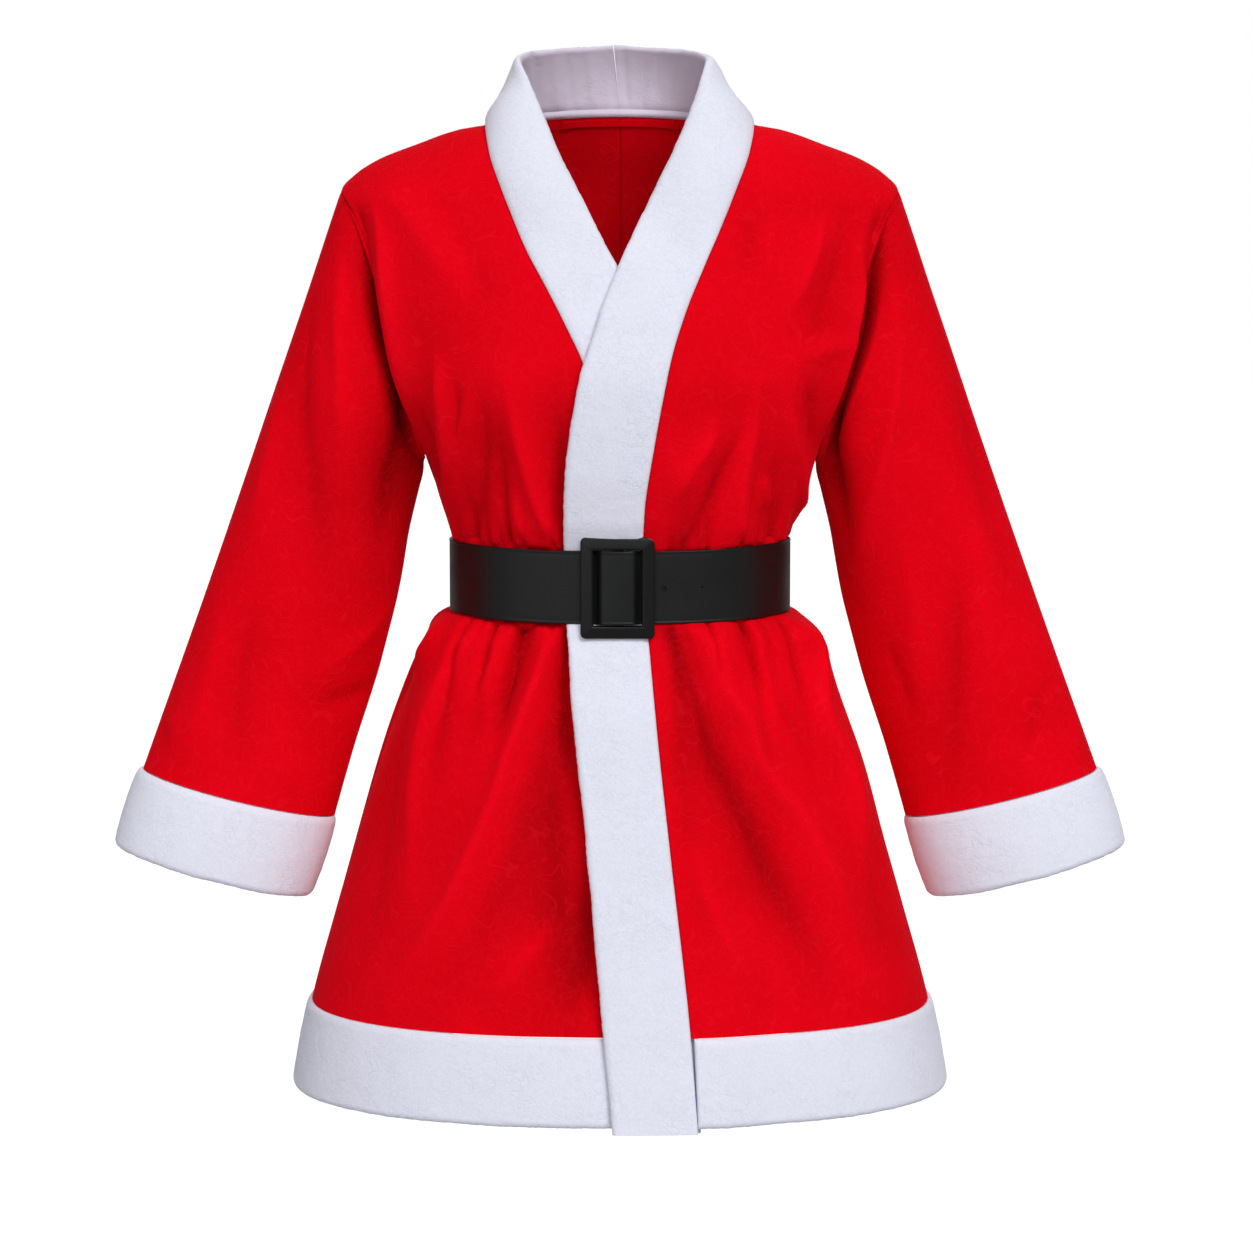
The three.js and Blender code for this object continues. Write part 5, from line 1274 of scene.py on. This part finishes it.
relief = node(tree, "ShaderNodeMath", {0: nap.outputs[0], 1: 0.35, 2: marks.outputs[0]},
              operation="MULTIPLY_ADD")
bump = node(tree, "ShaderNodeBump", {"Height": relief.outputs[0], "Strength": 0.55, "Distance": 0.0004})
tree.links.new(red.outputs[2], shader.inputs["Base Color"])
tree.links.new(bump.outputs[0], shader.inputs["Normal"])
shader.inputs["Roughness"].default_value = 0.85
shader.inputs["Specular IOR Level"].default_value = 0.03
shader.inputs["Sheen Weight"].default_value = 0.45
shader.inputs["Sheen Roughness"].default_value = 0.36
shader.inputs["Sheen Tint"].default_value = colour("#FF1C34")

# %% [markdown]
# ## Plush fleece
# The white fleece is a longer, denser pile. It scatters light inside, so its shadows are soft and a
# little lavender. Where clumps of its strands meet there are short fine creases, a bump with a painted
# lavender shade that makes them hardly darker. Single strands are too fine to show, so tufts of 2 mm
# are drawn.

# %% Fleece material
CREASE_LINES = ((74, 1.3), (110, 5.2))  # 14 mm and 9 mm, and how far each pattern is shifted
CREASE_PATCHES = 30  # 33 mm
TUFTS = 520  # 2 mm
fleece, tree, shader, place = new_material("polyester_plush_fleece")
spread = node(tree, "ShaderNodeTexNoise", {"Vector": place, "Scale": CREASE_PATCHES, "Detail": 2.0})
some = node(tree, "ShaderNodeMapRange", {0: spread.outputs[0], 1: 0.4, 2: 0.64, 3: 0.1, 4: 1.0})
first, second = (thin_lines(tree, place, scale, shift, 0.03) for scale, shift in CREASE_LINES)
lines = node(tree, "ShaderNodeMath", {0: first, 1: second}, operation="MAXIMUM")
# The creases make a bump and a painted shade.
creases = node(tree, "ShaderNodeMath", {0: lines.outputs[0], 1: some.outputs[0]}, operation="MULTIPLY")
tufts = node(tree, "ShaderNodeTexNoise", {"Vector": place, "Scale": TUFTS, "Detail": 3.0, "Roughness": 0.6})
tone = node(tree, "ShaderNodeMapRange", {0: tufts.outputs[0], 1: 0.3, 2: 0.7, 3: 0.0, 4: 1.0})
white = node(tree, "ShaderNodeMix", {0: tone.outputs[0], 6: colour("#E1E2F0"), 7: colour("#EAEBF8")},
             data_type="RGBA")
# Painted shade with a painted pink bounce from the red on the collar's inner side, and painted shade in the
# creases.
in_neck = node(tree, "ShaderNodeAttribute", attribute_name="in_neck")
for where, amount, shade in (
    (in_neck.outputs["Fac"], 0.7, "#D6C6D8"), (creases.outputs[0], 0.22, "#CBCCDF"),
):
    share = node(tree, "ShaderNodeMath", {0: where, 1: amount}, operation="MULTIPLY")
    white = node(tree, "ShaderNodeMix", {0: share.outputs[0], 6: white.outputs[2], 7: colour(shade)},
                 data_type="RGBA")
relief = node(tree, "ShaderNodeMath", {0: creases.outputs[0], 1: -0.6, 2: tufts.outputs[0]},
              operation="MULTIPLY_ADD")
bump = node(tree, "ShaderNodeBump", {"Height": relief.outputs[0], "Strength": 0.4, "Distance": 0.0008})
tree.links.new(white.outputs[2], shader.inputs["Base Color"])
tree.links.new(bump.outputs[0], shader.inputs["Normal"])
shader.inputs["Roughness"].default_value = 0.95
shader.inputs["Specular IOR Level"].default_value = 0.08
shader.inputs["Sheen Weight"].default_value = 0.12
shader.inputs["Sheen Roughness"].default_value = 0.5

# %% [markdown]
# ## Leatherette and moulded plastic
# The strap's vinyl coat is embossed with a leather grain of about 1 mm and has a satin shine, a little
# duller where it is worn. The buckle is moulded ABS with a slightly matt surface, whose texture is
# drawn as coarse as 0.8 mm to show.

# %% Black materials
GRAIN, WORN = 900, 30  # 1.1 mm and 33 mm
MOULD = 1200  # 0.8 mm
leatherette, tree, shader, place = new_material("vinyl_leatherette")
grain = node(tree, "ShaderNodeTexVoronoi", {"Vector": place, "Scale": GRAIN})
worn = node(tree, "ShaderNodeTexNoise", {"Vector": place, "Scale": WORN, "Detail": 3.0})
black = node(tree, "ShaderNodeMix", {0: worn.outputs[0], 6: colour("#090A0A"), 7: colour("#0F1111")},
             data_type="RGBA")
rough = node(tree, "ShaderNodeMapRange", {0: worn.outputs[0], 1: 0.3, 2: 0.7, 3: 0.42, 4: 0.52})
bump = node(tree, "ShaderNodeBump", {"Height": grain.outputs[0], "Strength": 0.12, "Distance": 0.0002})
tree.links.new(black.outputs[2], shader.inputs["Base Color"])
tree.links.new(rough.outputs[0], shader.inputs["Roughness"])
tree.links.new(bump.outputs[0], shader.inputs["Normal"])
shader.inputs["Specular IOR Level"].default_value = 0.3

plastic, tree, shader, place = new_material("moulded_abs")
fine = node(tree, "ShaderNodeTexNoise", {"Vector": place, "Scale": MOULD, "Detail": 2.0})
black = node(tree, "ShaderNodeMix", {0: fine.outputs[0], 6: colour("#070807"), 7: colour("#0C0D0C")},
             data_type="RGBA")
bump = node(tree, "ShaderNodeBump", {"Height": fine.outputs[0], "Strength": 0.08, "Distance": 0.0002})
tree.links.new(black.outputs[2], shader.inputs["Base Color"])
tree.links.new(bump.outputs[0], shader.inputs["Normal"])
shader.inputs["Roughness"].default_value = 0.34
shader.inputs["Specular IOR Level"].default_value = 0.28

# %% [markdown]
# ## Dressing the frame
# Each piece takes its cloth, rides on the one body and stands for its solid. A table lists the size
# each was cut to.

# %% Materials, bodies and cut sizes
MATERIALS = {"velour": velour, "fleece": fleece, "leatherette": leatherette, "buckle": plastic}
CUTS = {  # width, length, area in metres, how it is held, what it rests on
    "front_left": (0.27, 0.73, 0.145, "hung", ["belt_strap"]),
    "front_right": (0.29, 0.73, 0.155, "hung", ["belt_strap"]),
    "back_left": (0.28, 0.75, 0.177, "hung", ["belt_strap"]),
    "back_right": (0.28, 0.75, 0.177, "hung", ["belt_strap"]),
    "sleeve_left": (0.46, 0.49, 0.155, "hung", ["front_left", "back_left"]),
    "sleeve_right": (0.46, 0.49, 0.155, "hung", ["front_right", "back_right"]),
    "neck_tape": (0.01, 0.125, 0.00075, "hung", ["back_left", "back_right"]),
    "band_left": (0.07, 0.96, None, "hung", ["front_left"]),
    "band_right": (0.067, 0.96, None, "hung", ["front_right"]),
    "hem_front_left": (0.075, 0.27, None, "hung", ["front_left"]),
    "hem_front_right": (0.075, 0.33, None, "hung", ["front_right"]),
    "hem_back": (0.075, 0.66, None, "hung", ["back_left", "back_right"]),
    "cuff_left": (0.075, 0.36, None, "hung", ["sleeve_left"]),
    "cuff_right": (0.075, 0.36, None, "hung", ["sleeve_right"]),
}
for name, piece in pieces.items():
    slot = slot_of[name]
    piece.data.materials.append(MATERIALS[slot])
    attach(piece, "root")
    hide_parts(name)
    if name in CUTS:
        width, length, area, held, rests = CUTS[name]

# %% [markdown]
# ## The studio
# The dress was photographed on white with soft light from all around. A pale floor lies far below, as
# under a dress at shoulder height, two very wide soft lights come from the front, and a weaker one
# from behind keeps the edges clear.

# %% Floor and light
FLOOR_Z, FLOOR_REACH = -1.35, 30.0
floor_mesh = bpy.data.meshes.new("studio_floor")
corners = [(x * FLOOR_REACH, y * FLOOR_REACH, FLOOR_Z) for x, y in ((-1, -1), (1, -1), (1, 1), (-1, 1))]
floor_mesh.from_pydata(corners, [], [(0, 1, 2, 3)])
floor = bpy.data.objects.new("studio_floor", floor_mesh)
bpy.context.scene.collection.objects.link(floor)
floor_material, tree, shader, place = new_material("matt_white_paint")
ray = node(tree, "ShaderNodeLightPath")
seen = node(tree, "ShaderNodeMapRange", {0: ray.outputs["Is Camera Ray"], 3: 0.0, 4: 0.72})
tree.links.new(seen.outputs[0], shader.inputs["Emission Strength"])
shader.inputs["Base Color"].default_value = colour("#B4B4B6")
shader.inputs["Roughness"].default_value = 0.9
shader.inputs["Emission Color"].default_value = colour("#FFFFFF")
floor_mesh.materials.append(floor_material)


def soft_light(name, strength, spread, pitch, turn):
    data = bpy.data.lights.new(name, "SUN")
    data.energy = strength
    data.angle = math.radians(spread)
    light = bpy.data.objects.new(name, data)
    light.rotation_euler = (math.radians(pitch), 0, math.radians(turn))
    bpy.context.scene.collection.objects.link(light)
    return light


soft_light("key_light", 1.98, 30, 50, 24)
soft_light("fill_light", 0.74, 50, 80, -30)
soft_light("back_light", 0.7, 60, 50, 170)

world = bpy.data.worlds.new("white_studio")
bpy.context.scene.world = world
world.use_nodes = True
tree = world.node_tree
tree.nodes.clear()
ray = node(tree, "ShaderNodeLightPath")
level = node(tree, "ShaderNodeMapRange", {0: ray.outputs["Is Camera Ray"], 3: 0.26, 4: 1.0})
background = node(tree, "ShaderNodeBackground", {"Color": (1, 1, 1, 1), "Strength": level.outputs[0]})
output = node(tree, "ShaderNodeOutputWorld", {"Surface": background.outputs[0]})
bpy.context.scene.view_settings.view_transform = "Standard"
bpy.context.scene.view_settings.look = "None"
bpy.context.scene.view_settings.exposure = 0.0
